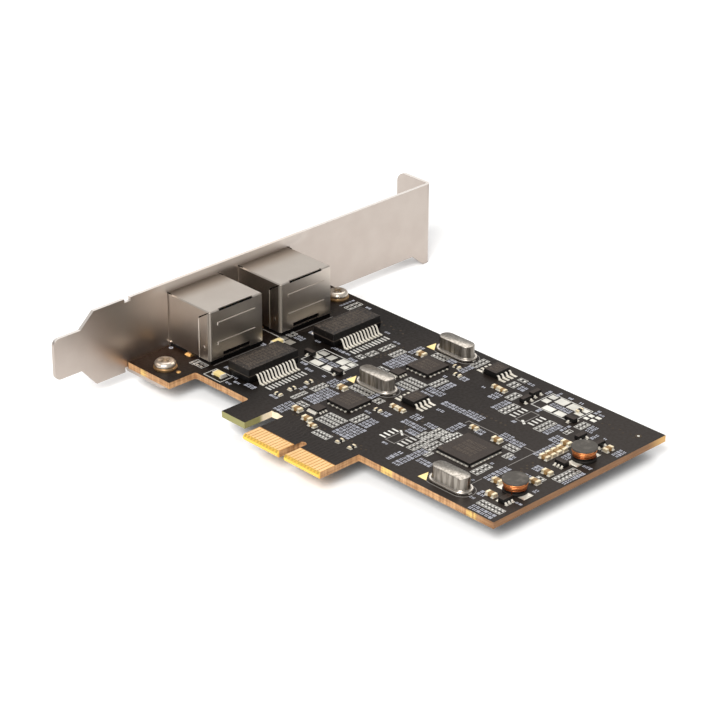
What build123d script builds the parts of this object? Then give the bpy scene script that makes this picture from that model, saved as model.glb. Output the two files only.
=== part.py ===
from build123d import *
from math import cos, radians, sin
import os

# Network interface card: a circuit board with a gold edge connector, a folded slot
# bracket and two shielded sockets.
# Millimetres. The origin is the centre of the key notch, on the contact edge and on the
# board's component face. +X runs from the bracket to the free end, +Y from the contact
# edge to the far edge, and +Z out of the component face.

os.makedirs("parts", exist_ok=True)

# Board outline
board_thickness = 1.57
board_height = 66.6
key_to_bracket = 56.6
key_to_free_end = 51.7
board_gap = 0.2
body_edge = 11.9
leg_width = 14.55
leg_edge = 4.05
hook_width = 7.6
hook_edge = 3.8
slot_width = 3.7
slot_top = 12.1
tongue_left = 12.2
tongue_right = 11.9
key_width = 2.0
key_depth = 7.3
contact_bevel = 0.5
milled_corner = 0.6

# Edge contacts
contact_pitch = 1.0
contact_width = 0.7
contact_length = 4.7
contact_count = 11
plating = 0.05

# Bracket, one folded sheet
sheet = 0.86
bracket_length = 120.02
bracket_width = 18.42
tab_width = 21.59
tab_depth = 11.43
tip_below_contacts = 16.7
tongue_width = 10.19
tongue_rise = 4.63
tongue_length = 7.6
taper_run = 4.0
tongue_corner = 1.6
tab_corner = 2.6
bend_radius = 0.6
flare_start = 6.4
flare_run = 3.8
screw_notch_width = 4.42
screw_notch_depth = 5.0
screw_notch_place = 5.1
nick_place = 20.5
nick_width = 1.8
nick_depth = 0.9
ear_width = 9.0
ear_length = 12.6
ear_relief = 0.8
ear_relief_rise = 0.35
ear_bend_radius = 0.75
window_gap = 0.25

# Bracket screws
screw_from_bracket = 8.0
screw_rows = (8.6, 63.1)
screw_radius = 1.45
screw_hole_radius = 1.6
thread_gap = 0.05
head_radius = 2.55
head_height = 1.9
head_round = 1.0
head_base_radius = 2.35
screw_below_board = 2.6
recess_width = 0.8
recess_span = 2.7
recess_depth = 1.1
recess_taper = 10

# Sockets: the folded shell
jack_rows = (24.65, 46.5)
jack_width = 16.0
jack_depth = 16.1
jack_behind_bracket = 14.6
jack_height = 13.4
shell_foot = 0.95
shell_sheet = 0.3
shell_corner = 0.25
face_frame = 1.1
flap_sheet = 0.2
flap_length = 3.7
flap_slope = 2.3
rib_height = 0.2
rib_width = 0.8
rib_length = 11.5
rib_levels = (4.9, 9.9)
rib_draft = 25
arch_width = 8.2
arch_height = 1.35
slit_width = 0.5
slit_length = 10.2
slit_drop = 0.45
shell_leg_width = 1.4
shell_leg_reach = 1.2
shell_leg_place = 8.6
leg_slot_gap = 0.15

# Sockets: the plastic housing and its wires
housing_gap = 0.05
plug_width = 11.9
plug_height = 6.9
plug_depth = 12.3
plug_floor = 4.3
latch_width = 6.2
latch_height = 1.5
latch_slot_width = 3.4
latch_slot_height = 1.1
latch_depth = 8.0
wire_count = 8
wire_pitch = 1.02
wire_width = 0.42
wire_thickness = 0.25
wire_set_back = 1.6
wire_run_in = 8.4
wire_dip = 3.6
wire_clearance = 0.3
trough_width = 9.4
trough_depth = 0.6
trough_front = 0.9
pocket_depth = 2.0
pin_rows = (13.9, 14.9)
post_radius = 1.6
post_spread = 11.43
post_place = 6.35
post_below_board = 1.2
post_gap = 0.05

# Line transformers, measured from the bracket
transformer_from_bracket = 24.3
transformer_rows = (24.3, 50.7)
transformer_size = (7.2, 15.6, 3.35)
transformer_lift = 0.25
transformer_lead_count = 12
transformer_pitch = 1.0
transformer_span = 12.0
transformer_parting = 1.9

# Gull-wing leads
lead_thickness = 0.18
lead_width = 0.42
lead_shoulder = 0.35
lead_foot = 0.9
small_lead_shoulder = 0
small_lead_foot = 0.35

# Moulded packages
moulding_draft = 6
small_parting = 0.5
small_lift = 0.05

# Square chips with pads at the rim
switch_chip_size = 10.0
switch_chip_place = ("key", 27.2, 30.1)
switch_pad_count = 8
controller_size = 7.0
controller_places = (("key", -6.9, 27.0), ("far_edge", -6.9, -14.7))
controller_pad_count = 5
chip_height = 0.85
rim_pad_width = 0.36
rim_pad_reach = 0.4
rim_pad_height = 0.2
rim_pad_margin = 0.8

# Eight-lead memory chips
memory_places = (("middle", 3.0, -1.25, 0), ("far_edge", 5.95, -5.1, 0))
memory_size = (3.9, 4.9, 1.4)
memory_lift = 0.1
memory_parting = 0.75
memory_lead_count = 4
memory_pitch = 1.27
memory_span = 6.0
memory_shoulder = 0.2
memory_foot = 0.4

# Six-lead regulators and three-lead transistors
regulator_places = (
    ("free_end", -4.3, 20.0, 0),
    ("free_corner", -6.7, -26.4, 90),
)
regulator_size = (1.6, 2.9, 1.1)
regulator_pitch = 0.95
regulator_lead_count = 3
regulator_span = 2.9
transistor_places = (
    ("far_edge", 19.6, -10.3, 0),
    ("far_edge", 19.1, -6.6, 0),
    ("far_edge", 33.0, -10.1, 90),
    ("free_corner", -11.9, -14.5, 0),
    ("free_corner", -6.8, -14.3, 0),
    ("middle", -19.1, -4.35, 90),
    ("bracket", 26.0, 37.2, 90),
)
transistor_size = (1.3, 2.9, 1.0)
transistor_pitch = 1.9
transistor_span = 2.4

# Small leadless chips: datum, place and turn
leadless_places = (("far_edge", -9.5, -21.7, 0), ("key", -9.2, 19.6, 0))
leadless_size = (2.9, 2.7, 0.75)

# Crystals in oval cans
crystal_places = (
    ("far_edge", -7.5, -4.5),
    ("middle", -8.3, -2.25),
    ("free_end", -17.1, 16.9),
)
can_length = 10.2
can_width = 4.0
can_top = 3.55
can_rim = 0.4
flange_length = 11.2
flange_width = 4.8
flange_thickness = 0.4
seat_length = 11.6
seat_thickness = 0.4
crystal_foot_width = 1.2
crystal_foot_reach = 1.3
crystal_foot_thickness = 0.15

# Drum inductors
inductor_places = (("free_end", -5.8, 24.6, 0), ("free_corner", -5.2, -21.0, 90))
drum_radius = 2.9
drum_height = 3.1
drum_flange = 0.7
drum_post_radius = 1.2
winding_radius = 2.5
winding_gap = 0.02
clip_width = 2.4
clip_inner = 1.3
clip_reach = 0.75
clip_thickness = 0.15

# Two-terminal chips: datum, place, turn of the long axis
chip_end = 0.3
large_chip = (2.0, 1.25, 0.8)
small_chip = (1.7, 0.95, 0.6)
flat_chip = (1.6, 0.85, 0.45)
lamp_chip = (3.0, 1.6, 0.7)
large_capacitor_places = (
    ("far_edge", -12.4, -11.0, 0),
    ("key", -12.8, 30.6, 0),
    ("key", -12.2, 16.2, 0),
    ("key", -7.4, 14.7, 0),
    ("key", 28.2, 37.9, 0),
    ("free_end", -11.0, 24.7, 0),
    ("free_end", -5.4, 30.3, 0),
    ("free_end", -8.0, 19.7, 0),
    ("free_corner", -6.2, -31.5, 0),
    ("free_corner", -11.1, -26.9, 0),
    ("free_corner", -11.1, -25.1, 0),
    ("free_corner", -11.1, -23.3, 0),
    ("free_corner", -11.1, -21.5, 0),
    ("free_corner", -12.1, -18.9, 0),
    ("free_corner", -4.1, -14.4, 90),
)
small_capacitor_places = (
    ("far_edge", 10.8, -10.5, 0),
    ("far_edge", 12.9, -10.6, 0),
    ("middle", 1.7, -6.45, 0),
    ("middle", 3.9, -6.55, 0),
    ("key", -4.4, 13.5, 0),
    ("key", 20.8, 38.5, 0),
)
resistor_places = (
    ("middle", 0.3, -10.25, 0),
    ("far_edge", -2.4, -9.6, 0),
    ("far_edge", 0.5, -12.4, 0),
    ("key", 4.8, 13.0, 90),
    ("key", 8.6, 13.0, 90),
    ("key", -20.6, 18.2, 0),
    ("key", -20.5, 22.2, 90),
    ("key", -20.3, 27.2, 90),
    ("far_edge", 31.2, -5.2, 90),
)
lamp_places = (("bracket", 19.6, 14.9, 0), ("bracket", 16.4, 35.7, 90))

# Worked out from the sizes above
bracket_face = -key_to_bracket
bracket_back = bracket_face - sheet
board_left = bracket_face + board_gap
board_under = -board_thickness
bracket_low = board_under - sheet
bracket_high = bracket_low + bracket_width
bracket_tip = -tip_below_contacts
bracket_end = bracket_tip + bracket_length
tab_low = bracket_high - tab_width
screw_x = bracket_face + screw_from_bracket
leg_right = board_left + leg_width
slot_left = -tongue_left - slot_width
hook_left = slot_left - hook_width
jack_rear = bracket_face + jack_behind_bracket
jack_front = jack_rear - jack_depth
screw_places = [(screw_x, row) for row in screw_rows]
datums = {
    "key": (0, 0),
    "middle": (0, (body_edge + board_height) / 2),
    "bracket": (bracket_face, 0),
    "free_end": (key_to_free_end, 0),
    "far_edge": (0, board_height),
    "free_corner": (key_to_free_end, board_height),
}


def rectangle_between(x_low, y_low, x_high, y_high, mode=Mode.ADD):
    """Draw a rectangle from two corners in the current sketch."""
    with Locations(((x_low + x_high) / 2, (y_low + y_high) / 2)):
        Rectangle(x_high - x_low, y_high - y_low, mode=mode)


def on_board(datum, x, y):
    """Return the board coordinates of a place given from a named datum."""
    return (datums[datum][0] + x, datums[datum][1] + y)


def seat_plane(place, height=0.0, facing=1):
    """Return the horizontal plane at a part's place, turned with the part."""
    turn = place[3] if len(place) > 3 else 0
    x, y = on_board(*place[:3])
    x_dir = (cos(radians(turn)), sin(radians(turn)), 0)
    return Plane(origin=(x, y, height), x_dir=x_dir, z_dir=(0, 0, facing))


def upright_plane(x, y, heading):
    """Return the upright plane at a point, its local x along the heading in degrees."""
    x_dir = (cos(radians(heading)), sin(radians(heading)), 0)
    z_dir = (sin(radians(heading)), -cos(radians(heading)), 0)
    return Plane(origin=(x, y, 0), x_dir=x_dir, z_dir=z_dir)


def lead_planes(place, offsets, side):
    """Return one upright plane for each lead on one side of a package."""
    turn = place[3] if len(place) > 3 else 0
    heading = turn if side > 0 else turn + 180
    along = radians(turn + 90)
    x, y = on_board(*place[:3])
    return [upright_plane(x + cos(along) * s, y + sin(along) * s, heading) for s in offsets]


def spaced(count, pitch):
    """Return offsets at equal pitch about zero."""
    return [(number - (count - 1) / 2) * pitch for number in range(count)]


def save(builder, label):
    """Label a finished piece and write its file."""
    builder.part.label = label
    export_step(builder.part, f"parts/{label}.step")


def jack_pins(row):
    """Return (x, y) of the eight pins of a socket, in two staggered rows."""
    offsets = spaced(wire_count, wire_pitch)
    return [(jack_front + pin_rows[n % 2], row + offset) for n, offset in enumerate(offsets)]


# Circuit board
with BuildPart() as circuit_board:
    with BuildSketch(Plane.XY.offset(board_under)) as outline:
        rectangle_between(board_left, body_edge, key_to_free_end, board_height)
        rectangle_between(board_left, leg_edge, leg_right, body_edge)
        rectangle_between(hook_left, hook_edge, slot_left, body_edge)
        rectangle_between(-tongue_left, 0, tongue_right, body_edge)
        inner_corners = outline.vertices().filter_by_position(
            Axis.Y, body_edge, body_edge
        ).filter_by_position(Axis.X, leg_right, tongue_right)
        fillet([v for v in inner_corners if v.X in (leg_right, hook_left, tongue_right)], milled_corner)
        slot_centre = (slot_left + slot_width / 2, slot_top - slot_width / 2)
        with Locations(slot_centre):
            Circle(slot_width / 2, mode=Mode.SUBTRACT)
        rectangle_between(slot_left, 0, -tongue_left, slot_centre[1], Mode.SUBTRACT)
        key_centre = (0, key_depth - key_width / 2)
        with Locations(key_centre):
            Circle(key_width / 2, mode=Mode.SUBTRACT)
        rectangle_between(-key_width / 2, 0, key_width / 2, key_centre[1], Mode.SUBTRACT)
    extrude(amount=board_thickness)
    chamfer(circuit_board.edges().filter_by(Axis.X).group_by(Axis.Y)[0], contact_bevel)
    with Locations(*screw_places):
        Hole(screw_hole_radius)
    for row in jack_rows:
        with Locations((jack_front + post_place, row)):
            with GridLocations(1, post_spread, 1, 2):
                Hole(post_radius + post_gap)
    with BuildSketch(Plane.XY.offset(board_under)):
        for row in jack_rows:
            with Locations((jack_front + shell_leg_place, row)):
                with GridLocations(1, jack_width - shell_sheet, 1, 2):
                    Rectangle(shell_leg_width + 2 * leg_slot_gap, shell_sheet + 2 * leg_slot_gap)
    extrude(amount=board_thickness, mode=Mode.SUBTRACT)
save(circuit_board, "circuit_board")


def contact_starts():
    """Return the lower X side of each edge contact, left and right of the key."""
    run = (contact_count - 1) * contact_pitch + contact_width
    left = -tongue_left + (tongue_left - key_width / 2 - run) / 2
    right = key_width / 2 + (tongue_right - key_width / 2 - run) / 2
    return [start + n * contact_pitch for start in (left, right) for n in range(contact_count)]


# Gold contacts on both faces, folded over the bevel of the contact edge
for face_name, level, outward in (("top", 0, 1), ("bottom", board_under, -1)):
    with BuildPart() as edge_contacts:
        with BuildSketch(*[Plane.YZ.offset(start) for start in contact_starts()]):
            with BuildLine():
                skin = outward * plating
                Polyline(
                    (0, level - outward * contact_bevel),
                    (contact_bevel, level),
                    (contact_length, level),
                    (contact_length, level + skin),
                    (contact_bevel, level + skin),
                    (0, level - outward * contact_bevel + skin),
                    close=True,
                )
            make_face()
        extrude(amount=contact_width)
    save(edge_contacts, f"edge_contacts_{face_name}")

def draw_bracket_plate():
    """Draw the flat of the bracket in (Y, Z): tongue, tapers, top edge nick and flare."""
    tongue_low = bracket_low + tongue_rise
    taper_start = bracket_tip + tongue_length
    taper_end = taper_start + taper_run
    nick_start = bracket_tip + nick_place
    flare_high = bracket_end - flare_start
    Polygon(
        (bracket_tip, tongue_low),
        (bracket_tip, tongue_low + tongue_width),
        (taper_start, tongue_low + tongue_width),
        (taper_end, bracket_high),
        (nick_start, bracket_high),
        (nick_start, bracket_high - nick_depth),
        (nick_start + nick_width, bracket_high - nick_depth),
        (nick_start + nick_width, bracket_high),
        (bracket_end, bracket_high),
        (bracket_end, tab_low),
        (flare_high + flare_run, tab_low),
        (flare_high, bracket_low),
        (taper_end, bracket_low),
        (taper_start, tongue_low),
        align=None,
    )


# Bracket: plate with two windows, end tab with its screw notch, two ears under the board
with BuildPart() as bracket:
    with BuildSketch(Plane.YZ.offset(bracket_back)) as plate:
        draw_bracket_plate()
        fillet(plate.vertices().group_by(Axis.X)[0], tongue_corner)
        for row in jack_rows:
            reach = jack_width / 2 + window_gap
            rectangle_between(
                row - reach, -window_gap, row + reach, jack_height + window_gap, Mode.SUBTRACT
            )
        for row in screw_rows:
            relief_centre = bracket_low + (sheet + ear_relief_rise) / 2
            with Locations((row, relief_centre)):
                with GridLocations(ear_width + ear_relief, 1, 2, 1):
                    Rectangle(ear_relief, sheet + ear_relief_rise, mode=Mode.SUBTRACT)
    extrude(amount=sheet)
    with BuildSketch(Plane.XZ.offset(-bracket_end)) as tab:
        rectangle_between(bracket_face - tab_depth, tab_low, bracket_back, bracket_high)
        fillet(tab.vertices().group_by(Axis.X)[0], tab_corner)
        notch_x = bracket_back - screw_notch_place
        notch_centre_z = tab_low + screw_notch_depth - screw_notch_width / 2
        notch_half = screw_notch_width / 2
        with Locations((notch_x, notch_centre_z)):
            Circle(notch_half, mode=Mode.SUBTRACT)
        rectangle_between(
            notch_x - notch_half, tab_low, notch_x + notch_half, notch_centre_z, Mode.SUBTRACT
        )
    extrude(amount=sheet)
    with BuildSketch(Plane.XY.offset(bracket_low)) as ears:
        for row in screw_rows:
            rectangle_between(
                bracket_face, row - ear_width / 2, bracket_face + ear_length, row + ear_width / 2
            )
        fillet(ears.vertices().group_by(Axis.X)[-1], tongue_corner)
        with Locations(*screw_places):
            Circle(screw_radius + thread_gap, mode=Mode.SUBTRACT)
    extrude(amount=sheet)
    upright = bracket.edges().filter_by(Axis.Z)
    outer_bend = upright.filter_by_position(Axis.X, bracket_face, bracket_face).sort_by(Axis.Y)[-1]
    fillet(outer_bend, bend_radius + sheet)
    upright = bracket.edges().filter_by(Axis.Z)
    inner_bend = upright.filter_by_position(Axis.X, bracket_back, bracket_back).sort_by(Axis.Y)[-1]
    fillet(inner_bend, bend_radius)
    low_edges = bracket.edges().filter_by(Axis.Y).filter_by_position(Axis.Z, bracket_low, bracket_low)
    low_back = low_edges.filter_by_position(Axis.X, bracket_back, bracket_back)
    fillet([edge for edge in low_back if abs(edge.length - ear_width) < thread_gap], ear_bend_radius)
save(bracket, "bracket")

# Bracket screws, pan heads with a cross recess
with BuildPart() as bracket_screws:
    screw_end = board_under - screw_below_board
    for x, row in screw_places:
        with BuildSketch(upright_plane(x, row, 0)):
            with BuildLine():
                rim = (head_radius, head_height - head_round)
                flat_end = (head_radius - head_round, head_height)
                TangentArc(flat_end, rim, tangent=(1, 0))
                Polyline(
                    rim,
                    (head_base_radius, 0),
                    (screw_radius, 0),
                    (screw_radius, screw_end),
                    (0, screw_end),
                    (0, head_height),
                    flat_end,
                )
            make_face()
        revolve(axis=Axis((x, row, 0), (0, 0, 1)))
    with BuildSketch(Plane.XY.offset(head_height)):
        with Locations(*screw_places):
            Rectangle(recess_span, recess_width)
            Rectangle(recess_width, recess_span)
    extrude(amount=-recess_depth, taper=recess_taper, mode=Mode.SUBTRACT)
save(bracket_screws, "bracket_screws")


def build_jack_shell(row, label):
    """Fold the tinned shell of a socket: walls, face frame, ribs, slit at the rear edge, flaps and legs."""
    half = jack_width / 2
    with BuildPart() as shell:
        with BuildSketch(Plane.XY.offset(shell_foot)):
            rectangle_between(jack_front, row - half, jack_rear, row + half)
        extrude(amount=jack_height - shell_foot)
        chamfer(shell.edges().filter_by(Axis.Z).group_by(Axis.X)[-1], shell_corner)
        chamfer(shell.faces().sort_by(Axis.Z)[-1].edges(), shell_corner)
        with BuildSketch(Plane.XY.offset(shell_foot)):
            inner = half - shell_sheet
            rectangle_between(
                jack_front + shell_sheet, row - inner, jack_rear - shell_sheet, row + inner
            )
        extrude(amount=jack_height - shell_sheet - shell_foot, mode=Mode.SUBTRACT)
        with BuildSketch(Plane.YZ.offset(jack_front)):
            opening = half - face_frame
            rectangle_between(
                row - opening, shell_foot, row + opening, jack_height - face_frame
            )
        extrude(amount=shell_sheet, mode=Mode.SUBTRACT)
        with BuildSketch(Plane.YZ.offset(jack_rear - shell_sheet)):
            with Locations((row, shell_foot)):
                Rectangle(arch_width, arch_height, align=(Align.CENTER, Align.MIN))
        extrude(amount=shell_sheet, mode=Mode.SUBTRACT)
        with BuildSketch(Plane.XY.offset(jack_height - slit_drop)):
            with Locations((jack_rear - slit_width / 2, row)):
                Rectangle(slit_width, slit_length)
        extrude(amount=slit_drop, mode=Mode.SUBTRACT)
        with BuildSketch(Plane.YZ.offset(jack_rear)):
            with Locations(*[(row, level) for level in rib_levels]):
                Rectangle(rib_length, rib_width)
        extrude(amount=rib_height, taper=rib_draft)
        flap_top = jack_height - shell_corner
        flap_front = jack_rear - flap_length
        for side in (-1, 1):
            with BuildSketch(Plane.XZ.offset(-row - side * half)):
                Polygon(
                    (flap_front, shell_foot),
                    (jack_rear - shell_corner, shell_foot),
                    (jack_rear - shell_corner, flap_top),
                    (flap_front, flap_top - flap_slope),
                    align=None,
                )
            extrude(amount=-side * flap_sheet)
            with BuildSketch(Plane.XZ.offset(-row - side * half)):
                leg_x = jack_front + shell_leg_place
                rectangle_between(
                    leg_x - shell_leg_width / 2,
                    board_under - shell_leg_reach,
                    leg_x + shell_leg_width / 2,
                    shell_foot,
                )
            extrude(amount=side * shell_sheet)
    save(shell, label)


def build_jack_housing(row, label):
    """Mould the socket's insert: plug cavity with latch steps, wire trough and posts."""
    half = jack_width / 2 - shell_sheet - housing_gap
    front = jack_front + shell_sheet + housing_gap
    rear = jack_rear - shell_sheet - housing_gap
    top = jack_height - shell_sheet - housing_gap
    with BuildPart() as housing:
        with BuildSketch():
            rectangle_between(front, row - half, rear, row + half)
        extrude(amount=top)
        with BuildSketch(Plane.YZ.offset(front)):
            rectangle_between(
                row - plug_width / 2, plug_floor, row + plug_width / 2, plug_floor + plug_height
            )
        extrude(amount=plug_depth, mode=Mode.SUBTRACT)
        with BuildSketch(Plane.YZ.offset(front)):
            step = plug_floor - latch_height
            rectangle_between(row - latch_width / 2, step, row + latch_width / 2, plug_floor)
            rectangle_between(
                row - latch_slot_width / 2, step - latch_slot_height, row + latch_slot_width / 2, step
            )
        extrude(amount=latch_depth, mode=Mode.SUBTRACT)
        with BuildSketch(Plane.XY.offset(top - trough_depth)):
            rectangle_between(
                front + trough_front, row - trough_width / 2, rear, row + trough_width / 2
            )
        extrude(amount=trough_depth, mode=Mode.SUBTRACT)
        with BuildSketch(Plane.XY.offset(plug_floor + plug_height)):
            roof = top - trough_depth - plug_floor - plug_height
            wire_under_roof = wire_run_in * (roof + wire_thickness) / wire_dip
            rectangle_between(
                front + trough_front,
                row - trough_width / 2,
                front + wire_set_back + wire_under_roof + wire_clearance,
                row + trough_width / 2,
            )
        extrude(amount=roof, mode=Mode.SUBTRACT)
        with BuildSketch():
            rectangle_between(
                rear - pocket_depth, row - trough_width / 2, rear, row + trough_width / 2
            )
        extrude(amount=top, mode=Mode.SUBTRACT)
        with BuildSketch(Plane.XY.offset(board_under - post_below_board)):
            with Locations((jack_front + post_place, row)):
                with GridLocations(1, post_spread, 1, 2):
                    Circle(post_radius)
        extrude(amount=board_thickness + post_below_board)
    save(housing, label)


def build_jack_wires(row, label):
    """Form the eight spring wires of a socket, from the board up and over into the cavity."""
    front = jack_front + shell_sheet + housing_gap
    floor = jack_height - shell_sheet - housing_gap - trough_depth
    with BuildPart() as contacts:
        for x, y in jack_pins(row):
            bend = front + wire_set_back - x
            tip = bend + wire_run_in
            with BuildSketch(upright_plane(x, y, 0)):
                Polygon(
                    (0, 0),
                    (wire_thickness, 0),
                    (wire_thickness, floor + wire_thickness),
                    (bend, floor + wire_thickness),
                    (bend, floor),
                    (tip, floor - wire_dip),
                    (tip, floor - wire_dip + wire_thickness),
                    (bend + wire_run_in * wire_thickness / wire_dip, floor),
                    (0, floor),
                    align=None,
                )
            extrude(amount=wire_width / 2, both=True)
    save(contacts, label)


for letter, row in zip("ab", jack_rows):
    build_jack_shell(row, f"jack_shell_{letter}")
    build_jack_housing(row, f"jack_housing_{letter}")
    build_jack_wires(row, f"jack_contacts_{letter}")


def build_moulded(label, places, size, lift, parting):
    """Mould package bodies that draw in above and below their parting line."""
    with BuildPart() as moulded:
        with BuildSketch(*[seat_plane(place, parting) for place in places]):
            Rectangle(size[0], size[1])
        extrude(amount=lift + size[2] - parting, taper=moulding_draft)
        with BuildSketch(*[seat_plane(place, parting, -1) for place in places]):
            Rectangle(size[0], size[1])
        extrude(amount=parting - lift, taper=moulding_draft)
    save(moulded, label)


def build_leads(label, planes, body_width, span, parting, shoulder, foot):
    """Form leads from the package side down to the board, with or without a shoulder."""
    lead_low = parting - lead_thickness / 2
    path = [(body_width / 2, lead_low), (span / 2 - foot, 0), (span / 2, 0)]
    if shoulder:
        path.insert(1, (body_width / 2 + shoulder, lead_low))
    with BuildPart() as leads:
        with BuildSketch(*planes):
            with BuildLine():
                Polyline(*path)
                offset(amount=lead_thickness, side=Side.LEFT, kind=Kind.INTERSECTION)
            make_face()
        extrude(amount=lead_width / 2, both=True)
    save(leads, label)


def both_sides(place, count, pitch):
    """Return the lead planes of a package with equal rows on both sides."""
    offsets = spaced(count, pitch)
    return lead_planes(place, offsets, 1) + lead_planes(place, offsets, -1)


# Line transformers beside the sockets
for letter, row in zip("ab", transformer_rows):
    place = ("bracket", transformer_from_bracket, row, 0)
    build_moulded(
        f"transformer_{letter}", [place], transformer_size, transformer_lift, transformer_parting
    )
    build_leads(
        f"transformer_leads_{letter}",
        both_sides(place, transformer_lead_count, transformer_pitch),
        transformer_size[0],
        transformer_span,
        transformer_parting,
        lead_shoulder,
        lead_foot,
    )

# Memory chips
for letter, place in zip("ab", memory_places):
    build_moulded(f"memory_chip_{letter}", [place], memory_size, memory_lift, memory_parting)
    build_leads(
        f"memory_leads_{letter}",
        both_sides(place, memory_lead_count, memory_pitch),
        memory_size[0],
        memory_span,
        memory_parting,
        memory_shoulder,
        memory_foot,
    )

# Regulators, three leads a side
regulator_lead_planes = []
for place in regulator_places:
    regulator_lead_planes += both_sides(place, regulator_lead_count, regulator_pitch)
build_moulded("regulators", regulator_places, regulator_size, small_lift, small_parting)
build_leads(
    "regulator_leads",
    regulator_lead_planes,
    regulator_size[0],
    regulator_span,
    small_parting,
    small_lead_shoulder,
    small_lead_foot,
)

# Transistors, two leads on one side and one on the other
transistor_lead_planes = []
for place in transistor_places:
    transistor_lead_planes += lead_planes(place, spaced(2, transistor_pitch), 1)
    transistor_lead_planes += lead_planes(place, [0], -1)
build_moulded("transistors", transistor_places, transistor_size, small_lift, small_parting)
build_leads(
    "transistor_leads",
    transistor_lead_planes,
    transistor_size[0],
    transistor_span,
    small_parting,
    small_lead_shoulder,
    small_lead_foot,
)


with BuildPart() as leadless_chips:
    with BuildSketch(*[seat_plane(place) for place in leadless_places]):
        Rectangle(leadless_size[0], leadless_size[1])
    extrude(amount=leadless_size[2])
save(leadless_chips, "leadless_chips")


def build_square_chip(chip_label, pads_label, place, size, pad_count):
    """Build a flat square chip and the soldered pads round its rim."""
    with BuildPart() as chip:
        with BuildSketch(seat_plane(place)):
            Rectangle(size, size)
        extrude(amount=chip_height)
    save(chip, chip_label)
    pad_pitch = (size - 2 * rim_pad_margin) / (pad_count - 1)
    x, y = on_board(*place)
    with BuildPart() as rim_pads:
        with BuildSketch():
            with Locations((x, y)):
                reach = size + rim_pad_reach
                with GridLocations(pad_pitch, reach, pad_count, 2):
                    Rectangle(rim_pad_width, rim_pad_reach)
                with GridLocations(reach, pad_pitch, 2, pad_count):
                    Rectangle(rim_pad_reach, rim_pad_width)
        extrude(amount=rim_pad_height)
    save(rim_pads, pads_label)


build_square_chip(
    "switch_chip", "switch_chip_pads", switch_chip_place, switch_chip_size, switch_pad_count
)
for letter, place in zip("ab", controller_places):
    build_square_chip(
        f"controller_chip_{letter}",
        f"controller_pads_{letter}",
        place,
        controller_size,
        controller_pad_count,
    )

# Crystals: insulating seat, welded can and two soldered feet each
for number, place in enumerate(crystal_places, start=1):
    seat_level = crystal_foot_thickness + seat_thickness
    with BuildPart() as seat:
        with BuildSketch(seat_plane(place, crystal_foot_thickness)):
            Rectangle(seat_length, flange_width)
        extrude(amount=seat_thickness)
    save(seat, f"crystal_seat_{number}")
    with BuildPart() as can:
        with BuildSketch(seat_plane(place, seat_level)):
            SlotOverall(flange_length, flange_width)
        extrude(amount=flange_thickness)
        with BuildSketch(seat_plane(place, seat_level + flange_thickness)):
            SlotOverall(can_length, can_width)
        extrude(amount=can_top - seat_level - flange_thickness)
        chamfer(can.faces().sort_by(Axis.Z)[-1].edges(), can_rim)
    save(can, f"crystal_can_{number}")
    with BuildPart() as feet:
        with BuildSketch(seat_plane(place)):
            with GridLocations(seat_length, 1, 2, 1):
                Rectangle(2 * crystal_foot_reach, crystal_foot_width)
        extrude(amount=crystal_foot_thickness)
    save(feet, f"crystal_feet_{number}")

# Drum inductors: ferrite drum, copper winding and two clips under the base
for letter, place in zip("ab", inductor_places):
    x, y = on_board(*place[:3])
    drum_top = clip_thickness + drum_height
    lower_flange = clip_thickness + drum_flange
    upper_flange = drum_top - drum_flange
    with BuildPart() as core:
        with BuildSketch(upright_plane(x, y, 0)):
            with BuildLine():
                Polyline(
                    (0, clip_thickness),
                    (drum_radius, clip_thickness),
                    (drum_radius, lower_flange),
                    (drum_post_radius, lower_flange),
                    (drum_post_radius, upper_flange),
                    (drum_radius, upper_flange),
                    (drum_radius, drum_top),
                    (0, drum_top),
                    close=True,
                )
            make_face()
        revolve(axis=Axis((x, y, 0), (0, 0, 1)))
    save(core, f"inductor_core_{letter}")
    with BuildPart() as winding:
        with BuildSketch(Plane.XY.offset(lower_flange + winding_gap)):
            with Locations((x, y)):
                Circle(winding_radius)
                Circle(drum_post_radius + winding_gap, mode=Mode.SUBTRACT)
        extrude(amount=upper_flange - lower_flange - 2 * winding_gap)
    save(winding, f"inductor_winding_{letter}")
    with BuildPart() as clips:
        with BuildSketch(seat_plane(place)):
            clip_length = drum_radius + clip_reach - clip_inner
            with GridLocations(2 * clip_inner + clip_length, 1, 2, 1):
                Rectangle(clip_length, clip_width)
        extrude(amount=clip_thickness)
    save(clips, f"inductor_clips_{letter}")


def build_end_chips(body_label, ends_label, kinds):
    """Build two-terminal chips: the ceramic bodies and, apart, their metal ends."""
    with BuildPart() as bodies:
        for size, places in kinds:
            with BuildSketch(*[seat_plane(place) for place in places]):
                Rectangle(size[0] - 2 * chip_end, size[1])
            extrude(amount=size[2])
    save(bodies, body_label)
    with BuildPart() as ends:
        for size, places in kinds:
            with BuildSketch(*[seat_plane(place) for place in places]):
                with GridLocations(size[0] - chip_end, 1, 2, 1):
                    Rectangle(chip_end, size[1])
            extrude(amount=size[2])
    save(ends, ends_label)


build_end_chips(
    "chip_capacitors",
    "capacitor_ends",
    ((large_chip, large_capacitor_places), (small_chip, small_capacitor_places)),
)
build_end_chips("chip_resistors", "resistor_ends", ((flat_chip, resistor_places),))
build_end_chips("indicator_lamps", "lamp_ends", ((lamp_chip, lamp_places),))
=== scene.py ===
"""Looks of the two-port network interface card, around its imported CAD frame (metres, row frame)."""

import math
import random

import bmesh
import bpy
from mathutils import Matrix, Vector


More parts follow.
